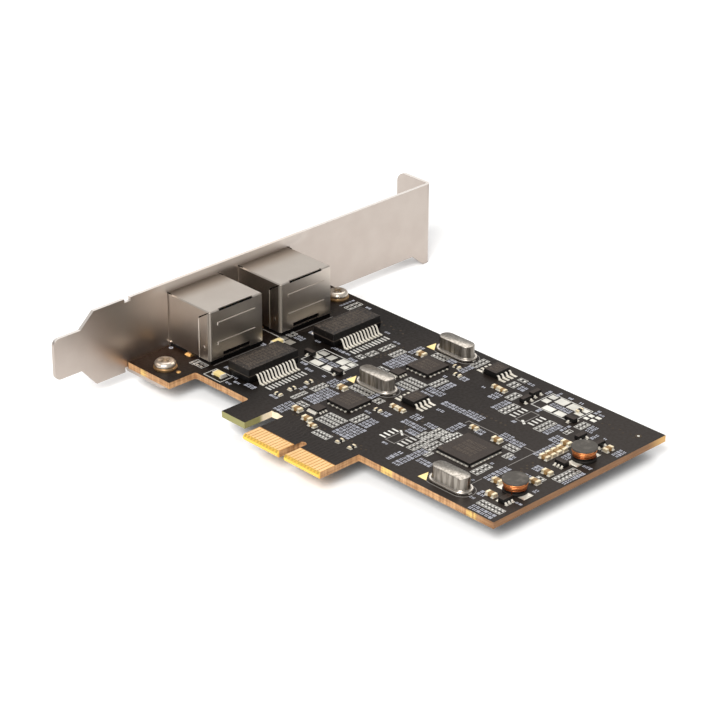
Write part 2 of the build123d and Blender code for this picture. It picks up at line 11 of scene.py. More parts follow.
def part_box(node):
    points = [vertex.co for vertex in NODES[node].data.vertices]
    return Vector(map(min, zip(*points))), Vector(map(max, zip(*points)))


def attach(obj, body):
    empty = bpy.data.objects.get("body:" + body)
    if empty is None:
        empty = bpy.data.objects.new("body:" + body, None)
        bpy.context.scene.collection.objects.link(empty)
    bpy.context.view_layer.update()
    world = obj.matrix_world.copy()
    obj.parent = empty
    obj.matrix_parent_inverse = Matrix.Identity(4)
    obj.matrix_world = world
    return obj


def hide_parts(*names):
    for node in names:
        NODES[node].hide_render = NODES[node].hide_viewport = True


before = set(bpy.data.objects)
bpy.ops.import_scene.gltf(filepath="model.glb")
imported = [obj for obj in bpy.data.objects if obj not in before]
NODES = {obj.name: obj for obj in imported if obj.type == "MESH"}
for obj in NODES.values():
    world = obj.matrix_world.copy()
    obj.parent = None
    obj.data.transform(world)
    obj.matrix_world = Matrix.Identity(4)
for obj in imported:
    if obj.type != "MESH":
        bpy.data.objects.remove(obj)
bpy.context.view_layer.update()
MM = 0.001  # metres
random.seed(7)

# Places that several pieces share, in millimetres
JACK_ROWS = (24.65, 46.5)
TRANSFORMER_ROWS = (24.3, 50.7)
CRYSTALS = ((-7.5, 62.1), (-8.3, 37.0), (34.6, 16.9))
JACK_PIN_PITCH = 1.02
SHELL_LEG_X = -49.5
BOARD_HOLE = (47.9, 61.9)


# Materials

def linear(colour):
    """An sRGB colour, 0 to 255, as Blender's linear colour with its alpha."""
    shares = [level / 255 for level in colour]
    return (*[((s + 0.055) / 1.055) ** 2.4 if s > 0.04 else s / 12.92 for s in shares], 1)


class Finish:
    """One procedural material, its colours in sRGB. Places are object coordinates, in metres."""

    def __init__(self, name, colour, rough, metal=0.0, specular=0.5):
        self.material = bpy.data.materials.new(name)
        self.material.use_nodes = True
        self.tree = self.material.node_tree
        self.shader = self.tree.nodes["Principled BSDF"]
        self.material.diffuse_color = linear(colour)
        looks = {"Base Color": linear(colour), "Metallic": metal, "Roughness": rough}
        looks["Specular IOR Level"] = specular
        for key, value in looks.items():
            self.shader.inputs[key].default_value = value
        where = self.tree.nodes.new("ShaderNodeTexCoord")
        self.place = where.outputs["Object"]
        self.normal = where.outputs["Normal"]
        self.face = None

    def node(self, kind, inputs, **settings):
        made = self.tree.nodes.new(kind)
        for key, value in settings.items():
            setattr(made, key, value)
        for key, value in inputs.items():
            if isinstance(value, bpy.types.NodeSocket):
                self.tree.links.new(value, made.inputs[key])
            else:
                made.inputs[key].default_value = value
        return made

    def combine(self, operation, a, b=0.0, clamp=False):
        return self.node("ShaderNodeMath", {0: a, 1: b}, operation=operation, use_clamp=clamp).outputs[0]

    def both(self, a, b):
        """Product of two values, so that a mask counts only where the other one does."""
        return self.combine("MULTIPLY", a, b)

    def axis(self, letter, source=None):
        parts = self.node("ShaderNodeSeparateXYZ", {0: source or self.place})
        return parts.outputs[letter]

    def level(self):
        """One on faces that look up or down, nought on upright ones."""
        return self.combine("ABSOLUTE", self.axis("Z", self.normal))

    def noise(self, scale, detail=3.0, stretch=None):
        place = self.place
        if stretch:
            place = self.node("ShaderNodeMapping", {"Vector": place, "Scale": stretch}).outputs[0]
        inputs = {"Vector": place, "Scale": scale, "Detail": detail}
        return self.node("ShaderNodeTexNoise", inputs).outputs["Fac"]

    def span(self, value, low, high, first=0.0, last=1.0):
        inputs = {"Value": value, "From Min": low, "From Max": high, "To Min": first, "To Max": last}
        return self.node("ShaderNodeMapRange", inputs, interpolation_type="SMOOTHSTEP").outputs[0]

    def band(self, value, low, high, soft=0.0003):
        """One between low and high, nought outside."""
        rise = self.span(value, low, low + soft)
        return self.both(rise, self.span(value, high - soft, high, 1.0, 0.0))

    def mix(self, share, a, b):
        """The first colour where share is nought, the second where it is one."""
        first, second = [linear(end) if isinstance(end, tuple) else end for end in (a, b)]
        return self.node("ShaderNodeMix", {0: share, 6: first, 7: second}, data_type="RGBA").outputs[2]

    def drive(self, socket, value):
        self.tree.links.new(value, self.shader.inputs[socket])
        return self

    def paint(self, colour):
        """Colour the surface, and keep that colour for what is painted over it."""
        self.face = colour
        return self.drive("Base Color", colour)

    def bump(self, height, strength, depth):
        inputs = {"Height": height, "Strength": strength, "Distance": depth}
        return self.drive("Normal", self.node("ShaderNodeBump", inputs).outputs[0])


def satin_metal(name, colour, dark, rough, grain=(1, 1, 1), spots=0.04, relief=0.015, metal=1.0):
    """Metal in broad clouds of two colours, with a fine grain unless spots is nought."""
    made = Finish(name, colour, rough, metal=metal)
    made.paint(made.mix(made.span(made.noise(140, 5), 0.3, 0.75), dark, colour))
    if not spots:
        return made
    fine = made.noise(7000, 2, stretch=grain)
    made.drive("Roughness", made.span(fine, 0.3, 0.75, rough - spots / 2, rough + spots))
    return made.bump(fine, relief, 0.00001)


def moulded(name, colour, pale, rough, grain=5000, specular=0.25, side=None, speck=700):
    """Plastic or ceramic with pale specks, and upright faces in painted shade where a side colour is given.
    """
    made = Finish(name, colour, rough, specular=specular)
    fine = made.noise(grain, 3)
    dust = made.span(made.noise(speck, 3), 0.45, 0.8, 0.0, 0.6)
    face = made.mix(dust, colour, pale)
    # Upright faces in the darker side colour: painted shade
    if side:
        face = made.mix(made.span(made.level(), 0.2, 0.9), side, face)
    made.paint(face)
    made.drive("Roughness", made.span(fine, 0.3, 0.7, rough - 0.08, rough + 0.1))
    return made.bump(fine, 0.35, 0.00002)


def shell_finish():
    """Tinned shell, rougher at its folded rear corners and painted darker there as shade, with painted shade
    on top beside the bracket.
    """
    pale, dark = (205, 196, 186), (199, 189, 179)
    made = satin_metal("tinned_shell", pale, dark, 0.3, (1, 1, 0.2), 0.02, 0.004)
    x, y = made.axis("X"), made.axis("Y")
    rear, front = (-0.0428, -0.0424), (-0.0545, -0.0505)
    # Folded rear corners: rougher, and painted darker as shade to dim the highlight they catch
    folds = [made.band(y, (row - 8.45) * MM, (row - 7.45) * MM, 0.0001) for row in JACK_ROWS]
    corner = made.both(made.combine("ADD", *folds, clamp=True), made.span(x, *rear))
    # Painted shade on the tops of the shell beside the bracket
    upward = made.span(made.axis("Z", made.normal), 0.5, 0.9)
    shade_beside_bracket = made.both(upward, made.span(x, *front, 1.0, 0.0))
    plain = made.mix(shade_beside_bracket, made.face, (168, 156, 144))
    made.paint(made.mix(corner, plain, (168, 160, 151)))
    return made.drive("Roughness", made.span(corner, 0.0, 1.0, 0.3, 0.62))


def board_finish():
    """Solder mask on level faces, bare laminate on the edges and between the contacts."""
    made = Finish("board_mask", (36, 31, 28), 0.45, specular=0.12)
    x, y = made.axis("X"), made.axis("Y")

    # Stretches along X and Y: between the contacts, the bevel below them, and parts of the edge
    contacts_x, contacts_y, bevel = (-0.0128, 0.0125), (-0.001, 0.0051), (-0.001, 0.0006)
    yellow, more_yellow, leg = (0.0186, 0.0222), (0.0438, 0.0470), (-0.0522, -0.0498)
    hook, slot_x, slot_y = (-0.0240, -0.0155), (-0.0163, -0.0120), (0.0080, 0.0140)

    # Mask: painted shade beside the sockets, a painted sheen paler towards the free end, warmer beside the
    # bracket
    mask = made.mix(made.span(made.noise(45), 0.3, 0.7), (25, 19, 16), (36, 30, 26))
    # Painted shade beside the sockets
    mask = made.mix(made.span(x, -0.030, -0.014, 1.0, 0.0), mask, (19, 15, 12))
    # Painted sheen, paler towards the free end
    mask = made.mix(made.span(x, 0.0, 0.05), mask, (44, 38, 34))
    mask = made.mix(made.span(x, -0.056, -0.038, 1.0, 0.0), mask, (38, 23, 14))
    bare = made.both(made.band(x, *contacts_x), made.band(y, *contacts_y))
    mask = made.mix(bare, mask, (192, 142, 84))

    # Edge: layers and cut ends of the glass cloth, browner at the free end
    layers = made.noise(900, stretch=(0.25, 0.25, 3))
    ticks = made.noise(1500, 2, stretch=(1, 1, 0.05))
    shares = [made.both(layers, 0.45), made.both(ticks, 0.55)]
    fibres = made.span(made.combine("ADD", *shares), 0.3, 0.7)
    edge = made.mix(fibres, (134, 94, 62), (202, 160, 116))
    far = made.span(x, 0.045, 0.052)
    edge = made.mix(far, edge, made.mix(layers, (108, 76, 50), (148, 110, 78)))
    far_corner = made.both(far, made.span(y, 0.060, 0.0664))
    edge = made.mix(far_corner, edge, (206, 164, 104))

    # Pale yellow stretches, the greenish hook, and a painted highlight on the end of its slot
    pale = made.combine("ADD", made.band(x, *yellow), made.band(x, *more_yellow))
    pale = made.combine("ADD", pale, made.band(x, *leg), clamp=True)
    edge = made.mix(made.both(pale, fibres), edge, (226, 196, 112))
    edge = made.mix(made.band(x, *hook), edge, (142, 138, 92))
    # Painted highlight on the end wall of the slot
    slot_end_highlight = made.both(made.band(x, *slot_x), made.band(y, *slot_y, 0.0016))
    edge = made.mix(slot_end_highlight, edge, (240, 226, 200))

    both = made.mix(made.span(made.level(), 0.85, 0.95), edge, mask)
    made.paint(made.mix(made.band(y, *bevel), both, (236, 190, 84)))
    made.drive("Roughness", made.span(made.noise(1400, 2), 0.3, 0.7, 0.34, 0.5))
    return made.bump(made.noise(1600, 2), 0.05, 0.00002)


def bracket_finish():
    """Satin nickel, with a painted reflection in a paler band high up behind the sockets and a painted
    highlight on its upward rim faces, both a little rougher.
    """
    pale, dark = (190, 180, 172), (184, 173, 165)
    made = satin_metal("satin_nickel", pale, dark, 0.32, (1, 0.08, 1), 0.06)
    # Paler band high up behind the sockets: a painted reflection
    high = made.span(made.axis("Z"), 0.0128, 0.0155)
    top = made.both(high, made.band(made.axis("Y"), 0.010, 0.062, 0.006))
    # Upward faces of the rim painted paler: a painted highlight
    rim = made.span(made.axis("Z", made.normal), 0.5, 0.9)
    plain = made.mix(rim, made.face, (222, 217, 212))
    made.paint(made.mix(top, plain, (222, 213, 205)))
    return made.drive("Roughness", made.span(made.combine("MAXIMUM", top, rim), 0.0, 1.0, 0.34, 0.6))


def copper_finish():
    """Enamelled wire, painted darker towards the board as shade."""
    made = Finish("enamelled_copper", (216, 138, 88), 0.34, metal=1.0)
    # Painted shade: lower turns darker, upper turns paler
    height = made.span(made.axis("Z"), 0.0009, 0.0026)
    return made.paint(made.mix(height, (104, 46, 22), (228, 146, 90)))


def can_finish():
    """Drawn steel can: grained top, and upright streaks on the sides, which are painted darker as shade."""
    made = Finish("crystal_can", (168, 161, 152), 0.34, metal=1.0)
    grains = made.noise(2300, stretch=(1, 1, 0.2))
    top = made.mix(made.span(grains, 0.35, 0.65), (148, 142, 133), (184, 177, 168))
    drawn = made.span(made.noise(1500, stretch=(1, 1, 0.12)), 0.35, 0.65)
    # Sides painted darker than the top: painted shade
    side = made.mix(drawn, (112, 105, 97), (162, 155, 146))
    made.paint(made.mix(made.span(made.level(), 0.3, 0.9), side, top))
    made.drive("Roughness", made.span(grains, 0.3, 0.7, 0.36, 0.3))
    return made.bump(grains, 0.015, 0.00002)


def plated_finish():
    """Gold plate, yellower on the bevelled nose of the contacts."""
    made = satin_metal("gold_plate", (252, 216, 160), (240, 196, 138), 0.32)
    nose = made.span(made.axis("Y"), 0.0003, 0.0009, 1.0, 0.0)
    return made.paint(made.mix(nose, made.face, (255, 212, 104)))


def transformer_finish():
    """Speckled mould, with upright faces in painted shade, a paler parting line half way up the sides as a
    painted highlight, and painted shade below it.
    """
    top, side = (24, 18, 14), (11, 8, 7)
    made = moulded("transformer_mould", top, (104, 90, 78), 0.45, 3500, side=side, speck=2600)
    height, parting, shade_below_parting = made.axis("Z"), (0.00178, 0.00205), (0.00175, 0.0018)
    # Sides: painted highlight on the parting line and painted shade below it
    wall = made.span(made.level(), 0.2, 0.5, 1.0, 0.0)
    below = made.both(wall, made.span(height, *shade_below_parting, 1.0, 0.0))
    line = made.both(wall, made.band(height, *parting, 0.00005))
    return made.paint(made.mix(line, made.mix(below, made.face, (3, 2, 2)), (62, 54, 48)))


FINISHES = {
    "board": board_finish(),
    "gold": plated_finish(),
    "bracket": bracket_finish(),
    "shell": shell_finish(),
    # Bend of the socket flap: the shell's metal painted paler, as a painted highlight
    "flap": satin_metal("flap_bend_highlight", (226, 217, 206), (222, 212, 200), 0.45, spots=0),
    "screw": satin_metal("screw_nickel", (216, 206, 193), (210, 199, 186), 0.3, spots=0),
    # Black sheets of painted shadow in the gaps of the sockets
    "black": moulded("shadow_sheet_black", (7, 6, 6), (10, 9, 9), 0.7, specular=0.05),
    "housing": moulded("socket_plastic", (20, 18, 18), (30, 28, 28), 0.5),
    "wire": satin_metal("contact_gold", (232, 184, 96), (210, 160, 80), 0.25),
    # Packages: upright faces in painted shade
    "package": moulded("package_mould", (46, 37, 31), (58, 48, 41), 0.5, side=(12, 10, 9)),
    "transformer": transformer_finish(),
    "tin": satin_metal("tinned_lead", (250, 244, 232), (232, 225, 211), 0.34, metal=0.45),
    "cream_tin": satin_metal("end_tin", (246, 232, 200), (226, 210, 178), 0.36, metal=0.6),
    "rim_tin": satin_metal("rim_tin", (176, 172, 164), (140, 136, 130), 0.4, metal=0.8),
    "can": can_finish(),
    "flange": satin_metal("crystal_flange", (228, 221, 211), (214, 206, 196), 0.38),
    "seat": moulded("crystal_seat", (44, 41, 39), (60, 57, 54), 0.55),
    "ferrite": moulded("ferrite_core", (72, 68, 63), (112, 106, 99), 0.6, 9000),
    "ferrite_base": moulded("ferrite_base", (24, 21, 19), (38, 34, 31), 0.55, 9000),
    "copper": copper_finish(),
    "ceramic": moulded("capacitor_ceramic", (136, 106, 66), (176, 146, 100), 0.45),
    "resistor": moulded("resistor_glaze", (26, 25, 27), (44, 42, 44), 0.3),
    "lamp": moulded("lamp_resin", (226, 204, 140), (240, 226, 180), 0.25),
    "ink": moulded("print_white", (208, 206, 200), (182, 180, 176), 0.6),
    "label_ink": moulded("print_pale", (186, 188, 198), (160, 162, 172), 0.6),
    "bare_tin": satin_metal("bare_tin", (255, 252, 242), (206, 204, 196), 0.4),
    "dull_tin": satin_metal("dull_tin", (240, 238, 232), (204, 202, 197), 0.42),
    "gold_pad": satin_metal("bare_gold", (240, 200, 134), (218, 172, 108), 0.35),
    "pale_gold": satin_metal("pale_gold", (255, 236, 176), (250, 220, 150), 0.45, metal=0.5),
    "worn_gold": satin_metal("worn_gold", (196, 166, 126), (160, 130, 92), 0.4),
    "solder": satin_metal("solder", (236, 230, 218), (212, 206, 192), 0.3, metal=0.7),
    "trace": moulded("mask_over_copper", (40, 34, 30), (50, 44, 39), 0.42, specular=0.14),
    "via": satin_metal("via_ring", (92, 80, 66), (72, 62, 50), 0.5),
    "faint": moulded("package_mark", (80, 70, 60), (94, 84, 74), 0.5),
    "thin_ink": moulded("print_dim", (134, 130, 126), (116, 113, 110), 0.6),
}

CHIPS = ["controller_chip_a", "controller_chip_b", "switch_chip", "leadless_chips"]
MEMORIES = ["memory_chip_a", "memory_chip_b"]
SMALL_PACKAGES = ["regulators", "transistors"]
TRANSFORMERS = ["transformer_a", "transformer_b"]

# CAD nodes of each finish; all the others are tinned leads, or have a finer piece in their place
DRESS = {
    "board": ["circuit_board"],
    "bracket": ["bracket"],
    "screw": ["bracket_screws"],
    "shell": ["jack_shell_a", "jack_shell_b"],
    "housing": ["jack_housing_a", "jack_housing_b"],
    "wire": ["jack_contacts_a", "jack_contacts_b"],
    "gold": ["edge_contacts_top", "edge_contacts_bottom"],
    "transformer": TRANSFORMERS,
    "package": CHIPS + MEMORIES + SMALL_PACKAGES,
    "ceramic": ["chip_capacitors"],
    "resistor": ["chip_resistors"],
    "lamp": ["indicator_lamps"],
}
FINISH_OF = {node: finish for finish, nodes in DRESS.items() for node in nodes}

for name, thing in NODES.items():
    thing.data.materials.clear()
    thing.data.materials.append(FINISHES[FINISH_OF.get(name, "tin")].material)


def round_edges(thing, width):
    """Small rounded edges, as a modifier, so that they catch the light."""
    edge = thing.modifiers.new("edge", "BEVEL")
    edge.width = width * MM
    edge.segments = 2
    edge.limit_method = "ANGLE"
    edge.angle_limit = math.radians(35)
    edge.use_clamp_overlap = True
    return edge


# Width of the rounding, in millimetres, of the CAD nodes that have it
ROUNDED = {
    0.03: ["chip_capacitors"],
    0.04: ["resistor_ends"],
    0.05: ["lamp_ends", "indicator_lamps"] + CHIPS,
    0.06: ["capacitor_ends"],
    0.08: SMALL_PACKAGES,
    0.1: ["bracket"] + MEMORIES,
    0.25: TRANSFORMERS,
}
for width, names in ROUNDED.items():
    for name in names:
        weld = NODES[name].modifiers.new("weld", "WELD")
        weld.merge_threshold = 0.000001
        round_edges(NODES[name], width).harden_normals = True


# Shapes

def placed(name, data):
    """New object in the scene."""
    thing = bpy.data.objects.new(name, data)
    bpy.context.scene.collection.objects.link(thing)
    return thing


def middle(low, high):
    """Middle of a box, seen from above."""
    return (low[0] + high[0]) / 2, (low[1] + high[1]) / 2


def corners(x, y, length, width, height):
    """Corners of a level rectangle, anticlockwise, its length along X."""
    ends = [(-length, -width), (length, -width), (length, width), (-length, width)]
    return [(x + u / 2, y + v / 2, height) for u, v in ends]


def circle(x, y, radius, height, count):
    """Points of a level circle, anticlockwise."""
    angles = [2 * math.pi * n / count for n in range(count)]
    return [(x + radius * math.cos(a), y + radius * math.sin(a), height) for a in angles]


def oval(x, y, half_length, half_width, height):
    """Points of a level stadium, anticlockwise, its length along X."""
    reach, steps = half_length - half_width, 12
    points = []
    for side, start in ((1, -90), (-1, 90)):
        for n in range(steps + 1):
            a = math.radians(start + 180 * n / steps)
            u, v = side * reach + half_width * math.cos(a), half_width * math.sin(a)
            points.append((x + u, y + v, height))
    return points


class Shape:
    """A mesh under construction, in millimetres."""

    def __init__(self):
        self.points = []
        self.faces = []

    def loft(self, *rings, closed=False):
        """Solid through rings of equally many points, from the lowest up, or round to the first."""
        start, count, levels = len(self.points), len(rings[0]), len(rings)
        for ring in rings:
            self.points.extend(ring)
        for level in range(levels if closed else levels - 1):
            low, high = start + level * count, start + (level + 1) % levels * count
            for i in range(count):
                j = (i + 1) % count
                self.faces.append((low + i, low + j, high + j, high + i))
        if not closed:
            self.faces.append(tuple(range(start + count - 1, start - 1, -1)))
            self.faces.append(tuple(range(start + (levels - 1) * count, start + levels * count)))

    def block(self, x, y, length, width, low, high, bevel=0.0):
        """Box round a place, with the edge of its top taken off by bevel."""
        rings = [corners(x, y, length, width, low)]
        if bevel:
            rings.append(corners(x, y, length, width, high - bevel))
        rings.append(corners(x, y, length - 2 * bevel, width - 2 * bevel, high))
        self.loft(*rings)

    def between(self, x_low, y_low, x_high, y_high, low, high, bevel=0.0):
        """Box between two corners."""
        place = middle((x_low, y_low), (x_high, y_high))
        self.block(*place, x_high - x_low, y_high - y_low, low, high, bevel)

    def disc(self, x, y, radius, low, high, top=None):
        """Round plate, or a cone where top is another radius."""
        self.loft(circle(x, y, radius, low, 20), circle(x, y, top or radius, high, 20))

    def lathe(self, x, y, profile):
        """Turned solid from (radius, height) pairs, lowest first."""
        self.loft(*[circle(x, y, radius, height, 64) for radius, height in profile])

    def gull(self, x, y, side, half_body, half_span, level, foot, width):
        """One S-shaped lead from the side of a package down to its foot on the board."""
        start, run, thickness = half_body + 0.22, half_span - foot, 0.18
        path = [(half_body - 0.1, level), (start, level)]
        for n in range(1, 10):
            share = n / 10
            path.append((start + (run - start) * share, level * (1 + math.cos(math.pi * share)) / 2))
        path += [(run, 0.01), (half_span, 0.01)]
        rings = []
        for i, (u, z) in enumerate(path):
            before, after = path[max(i - 1, 0)], path[min(i + 1, len(path) - 1)]
            along = Vector((after[0] - before[0], after[1] - before[1])).normalized()
            upper = (u - along.y * thickness, z + along.x * thickness)
            half = width / 2 * (1.0 if i < 2 else min(1.3, 1.0 + 0.3 * (i - 1) / 8))
            ring = [(u, -half, z), (u, half, z), (upper[0], half, upper[1]), (upper[0], -half, upper[1])]
            rings.append([(x + side * a, y + b, c) for a, b, c in ring])
        self.loft(*rings)

    def ring(self, x, y, inner, outer, low, high, count=28):
        """Flat ring with a hole."""
        profile = ((outer, low), (outer, high), (inner, high), (inner, low))
        self.loft(*[circle(x, y, radius, height, count) for radius, height in profile], closed=True)

    def stroke(self, line, width, low, high, closed=False):
        """Flat line of one width through points, mitred at its corners."""
        sides, count = [], len(line)
        for i, (x, y) in enumerate(line):
            last, following = (i - 1) % count, (i + 1) % count
            if not closed:
                last, following = max(i - 1, 0), min(i + 1, count - 1)
            came = Vector((x - line[last][0], y - line[last][1]))
            goes = Vector((line[following][0] - x, line[following][1] - y))
            came = came if came.length else goes
            goes = goes if goes.length else came
            along = (came.normalized() + goes.normalized()).normalized()
            reach = width / 2 / max(0.4, along.dot(came.normalized()))
            across = (-along.y * reach, along.x * reach)
            sides.append(((x - across[0], y - across[1]), (x + across[0], y + across[1])))
        pairs = list(zip(sides, sides[1:])) + ([(sides[-1], sides[0])] if closed else [])
        for (right_a, left_a), (right_b, left_b) in pairs:
            flat = (right_a, right_b, left_b, left_a)
            self.loft([(*p, low) for p in flat], [(*p, high) for p in flat])

    def frame(self, x_low, y_low, x_high, y_high, width, low, high):
        line = [(x_low, y_low), (x_high, y_low), (x_high, y_high), (x_low, y_high)]
        self.stroke(line, width, low, high, closed=True)

    def tube(self, path, radius, count):
        """Round wire along points in space."""
        points, rings = [Vector(p) for p in path], []
        for i, point in enumerate(points):
            ahead = points[min(i + 1, len(points) - 1)] - points[max(i - 1, 0)]
            ahead.normalize()
            side = Vector((0, 0, 1)).cross(ahead)
            side = side.normalized() if side.length > 0.05 else Vector((1, 0, 0))
            up = ahead.cross(side)
            turn = [2 * math.pi * n / count for n in range(count)]
            rings.append([tuple(point + (side * math.cos(a) + up * math.sin(a)) * radius) for a in turn])
        self.loft(*rings)

    def piece(self, name, finish, bevel=0.0, smooth=False, stands_for=()):
        """Turn the shape into a piece of the card, in metres."""
        mesh = bpy.data.meshes.new(name)
        mesh.from_pydata([tuple(v * MM for v in p) for p in self.points], [], self.faces)
        made = bmesh.new()
        made.from_mesh(mesh)
        bmesh.ops.recalc_face_normals(made, faces=made.faces)
        made.to_mesh(mesh)
        made.free()
        mesh.materials.append(FINISHES[finish].material)
        thing = placed(name, mesh)
        if smooth:
            mesh.shade_smooth()
            mesh.set_sharp_from_angle(angle=math.radians(40))
        if bevel:
            round_edges(thing, bevel)
        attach(thing, "root")
        if stands_for:
            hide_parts(*stands_for)


def box_of(node):
    """Lowest and highest corner of a CAD node, in millimetres."""
    return [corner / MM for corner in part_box(node)]


def islands(node, below=None):
    """Boxes, in millimetres, of the separate solids of a CAD node, or of what is below a height."""
    mesh = NODES[node].data
    places = {}
    group = list(range(len(mesh.vertices)))

    def root(i):
        while group[i] != i:
            group[i] = group[group[i]]
            i = group[i]
        return i

    for vertex in mesh.vertices:
        key = tuple(round(c * 1e6) for c in vertex.co)
        group[root(vertex.index)] = root(places.setdefault(key, vertex.index))
    for face in mesh.polygons:
        first = root(face.vertices[0])
        for other in face.vertices[1:]:
            group[root(other)] = first
    found = {}
    for vertex in mesh.vertices:
        place = vertex.co / MM
        if below is None or place.z < below:
            found.setdefault(root(vertex.index), []).append(place)
    boxes = []
    for points in found.values():
        low = [min(p[k] for p in points) for k in range(3)]
        high = [max(p[k] for p in points) for k in range(3)]
        boxes.append((low, high))
    return boxes


# What is printed and plated on the board

# Thickness of the print, its heights on the upper face, and height of the underside, in millimetres
SKIN = 0.035
PRINT = (0, SKIN)
UNDER = -1.57
ink = Shape()
label_ink = Shape()
thin_ink = Shape()
bare_pads = Shape()
dull_pads = Shape()
gold_pads = Shape()
pale_gold = Shape()
end_caps = Shape()
rims = Shape()
solder = Shape()


def footprints(x_low, y_low, x_high, y_high, count, along, low):
    """Row of empty two-pad places in a printed frame, spread along X or Y."""
    pad_run, pad_across, proud = 0.46, 0.25, 0.02
    ink.frame(x_low, y_low, x_high, y_high, 0.1, low, low + SKIN)
    length, across = x_high - x_low, y_high - y_low
    if along == "y":
        length, across = across, length
    pitch = length / count
    for n in range(count):
        run = pitch * (n + 0.5)
        for share in (0.23, 0.77):
            if along == "x":
                place = (x_low + run, y_low + across * share, pitch * pad_run, across * pad_across)
            else:
                place = (x_low + across * share, y_low + run, across * pad_across, pitch * pad_run)
            dull_pads.block(*place, low - proud, low + SKIN + proud, bevel=0.015)
        if n:
            cut = pitch * n
            ends = ((x_low + cut, y_low), (x_low + cut, y_high))
            if along == "y":
                ends = ((x_low, y_low + cut), (x_high, y_low + cut))
            ink.stroke(ends, 0.07, low, low + SKIN)


def label(x_low, y_low, x_high, y_high, columns, rows, low, shape=label_ink):
    """Field of small hatched marks, where the card has its print."""
    upright_share, filled, bar_wide, bar_tall = 0.75, 0.86, 0.15, 0.13
    wide, tall = (x_high - x_low) / columns, (y_high - y_low) / rows
    for column in range(columns):
        for row in range(rows):
            x, y = x_low + wide * (column + 0.5), y_low + tall * (row + 0.5)
            upright = random.random() < upright_share
            bars = random.choice((2, 2, 3))
            for n in range(bars):
                shift = (n - (bars - 1) / 2) * filled / bars
                length = random.uniform(0.62, 0.82)
                slip = random.uniform(-0.06, 0.06)
                if upright:
                    bar = (x + wide * shift, y + tall * slip, wide * bar_wide, tall * length)
                else:
                    bar = (x + wide * slip, y + tall * shift, wide * length, tall * bar_tall)
                shape.block(*bar, low, low + SKIN)


def printed(places, fields, low):
    """All footprints and fields of print on one face of the board."""
    for way, boxes in places.items():
        for box in boxes:
            footprints(*box, way, low)
    for box in fields:
        label(*box, low)


# x and y of two corners and places in the row, by the way the row runs
FOOTPRINTS = {
    "x": [
        (-6.3, 18.8, -0.8, 20.8, 6), (-6.3, 16.2, -0.8, 18.2, 6), (-2.4, 11.3, 2.2, 13.4, 5),
        (-12.4, 32.1, -6.3, 34.4, 6), (-6.3, 43.8, -0.8, 45.8, 6), (-6.3, 41.1, -0.9, 43, 6),
        (-10.8, 57, -6.7, 59.3, 4), (43.7, 15.1, 50.3, 17.1, 7), (30.8, 36.8, 34.2, 38.9, 3),
        (-45.1, 14.2, -42.4, 16.4, 2), (-42.5, 40.1, -40.3, 42.3, 2), (-14.9, 18.4, -12, 19.8, 2),
        (-14.9, 43.3, -12, 44.7, 2),
    ],
    "y": [
        (-0.9, 21.3, 1.1, 25.6, 4), (-0.9, 46.2, 1.1, 50.7, 4), (-1.2, 60, 0.8, 64.6, 4),
        (-17.9, 25.2, -16, 29.4, 4), (-17.9, 50.1, -16, 54.3, 4), (-17.9, 19.3, -16.7, 23.6, 4),
        (16.6, 21.6, 18.8, 26.3, 4), (19.1, 24.1, 21.3, 28.4, 4), (14.5, 26.5, 16.4, 29.7, 3),
        (16.5, 26.5, 18.4, 29.7, 3), (19.4, 29.3, 21.4, 34.5, 5), (15.3, 30, 17.4, 33.1, 3),
        (17.6, 30, 19.3, 33.1, 3), (18.7, 48.3, 20.8, 53.3, 4), (15.3, 54.1, 17.4, 57.6, 3),
        (11.5, 58.8, 13.6, 61.4, 2), (11.4, 62.5, 13.6, 63.8, 1), (29.7, 47.8, 31.8, 53.3, 5),
        (35.3, 54.9, 37.3, 58.2, 3), (47.6, 34.1, 49.9, 40.9, 6), (33.6, 23.8, 35.7, 26.1, 2),
        (33.6, 26.4, 35.6, 28.7, 2), (-21.8, 46.4, -20, 49.2, 2), (-21.5, 50.4, -19.9, 54.6, 3),
        (-22.4, 43.9, -20.6, 45.6, 1), (-46.5, 14, -45.3, 16.5, 2), (-43.3, 60.2, -41.4, 64.7, 3),
        (21.6, 21.8, 22.6, 24, 2), (33.6, 33.6, 35, 35.9, 2), (35.5, 51.1, 36.7, 53.2, 1),
        (-3.9, 31.3, -1.8, 33.4, 2), (44.9, 30.9, 47.1, 33, 2),
    ],
}

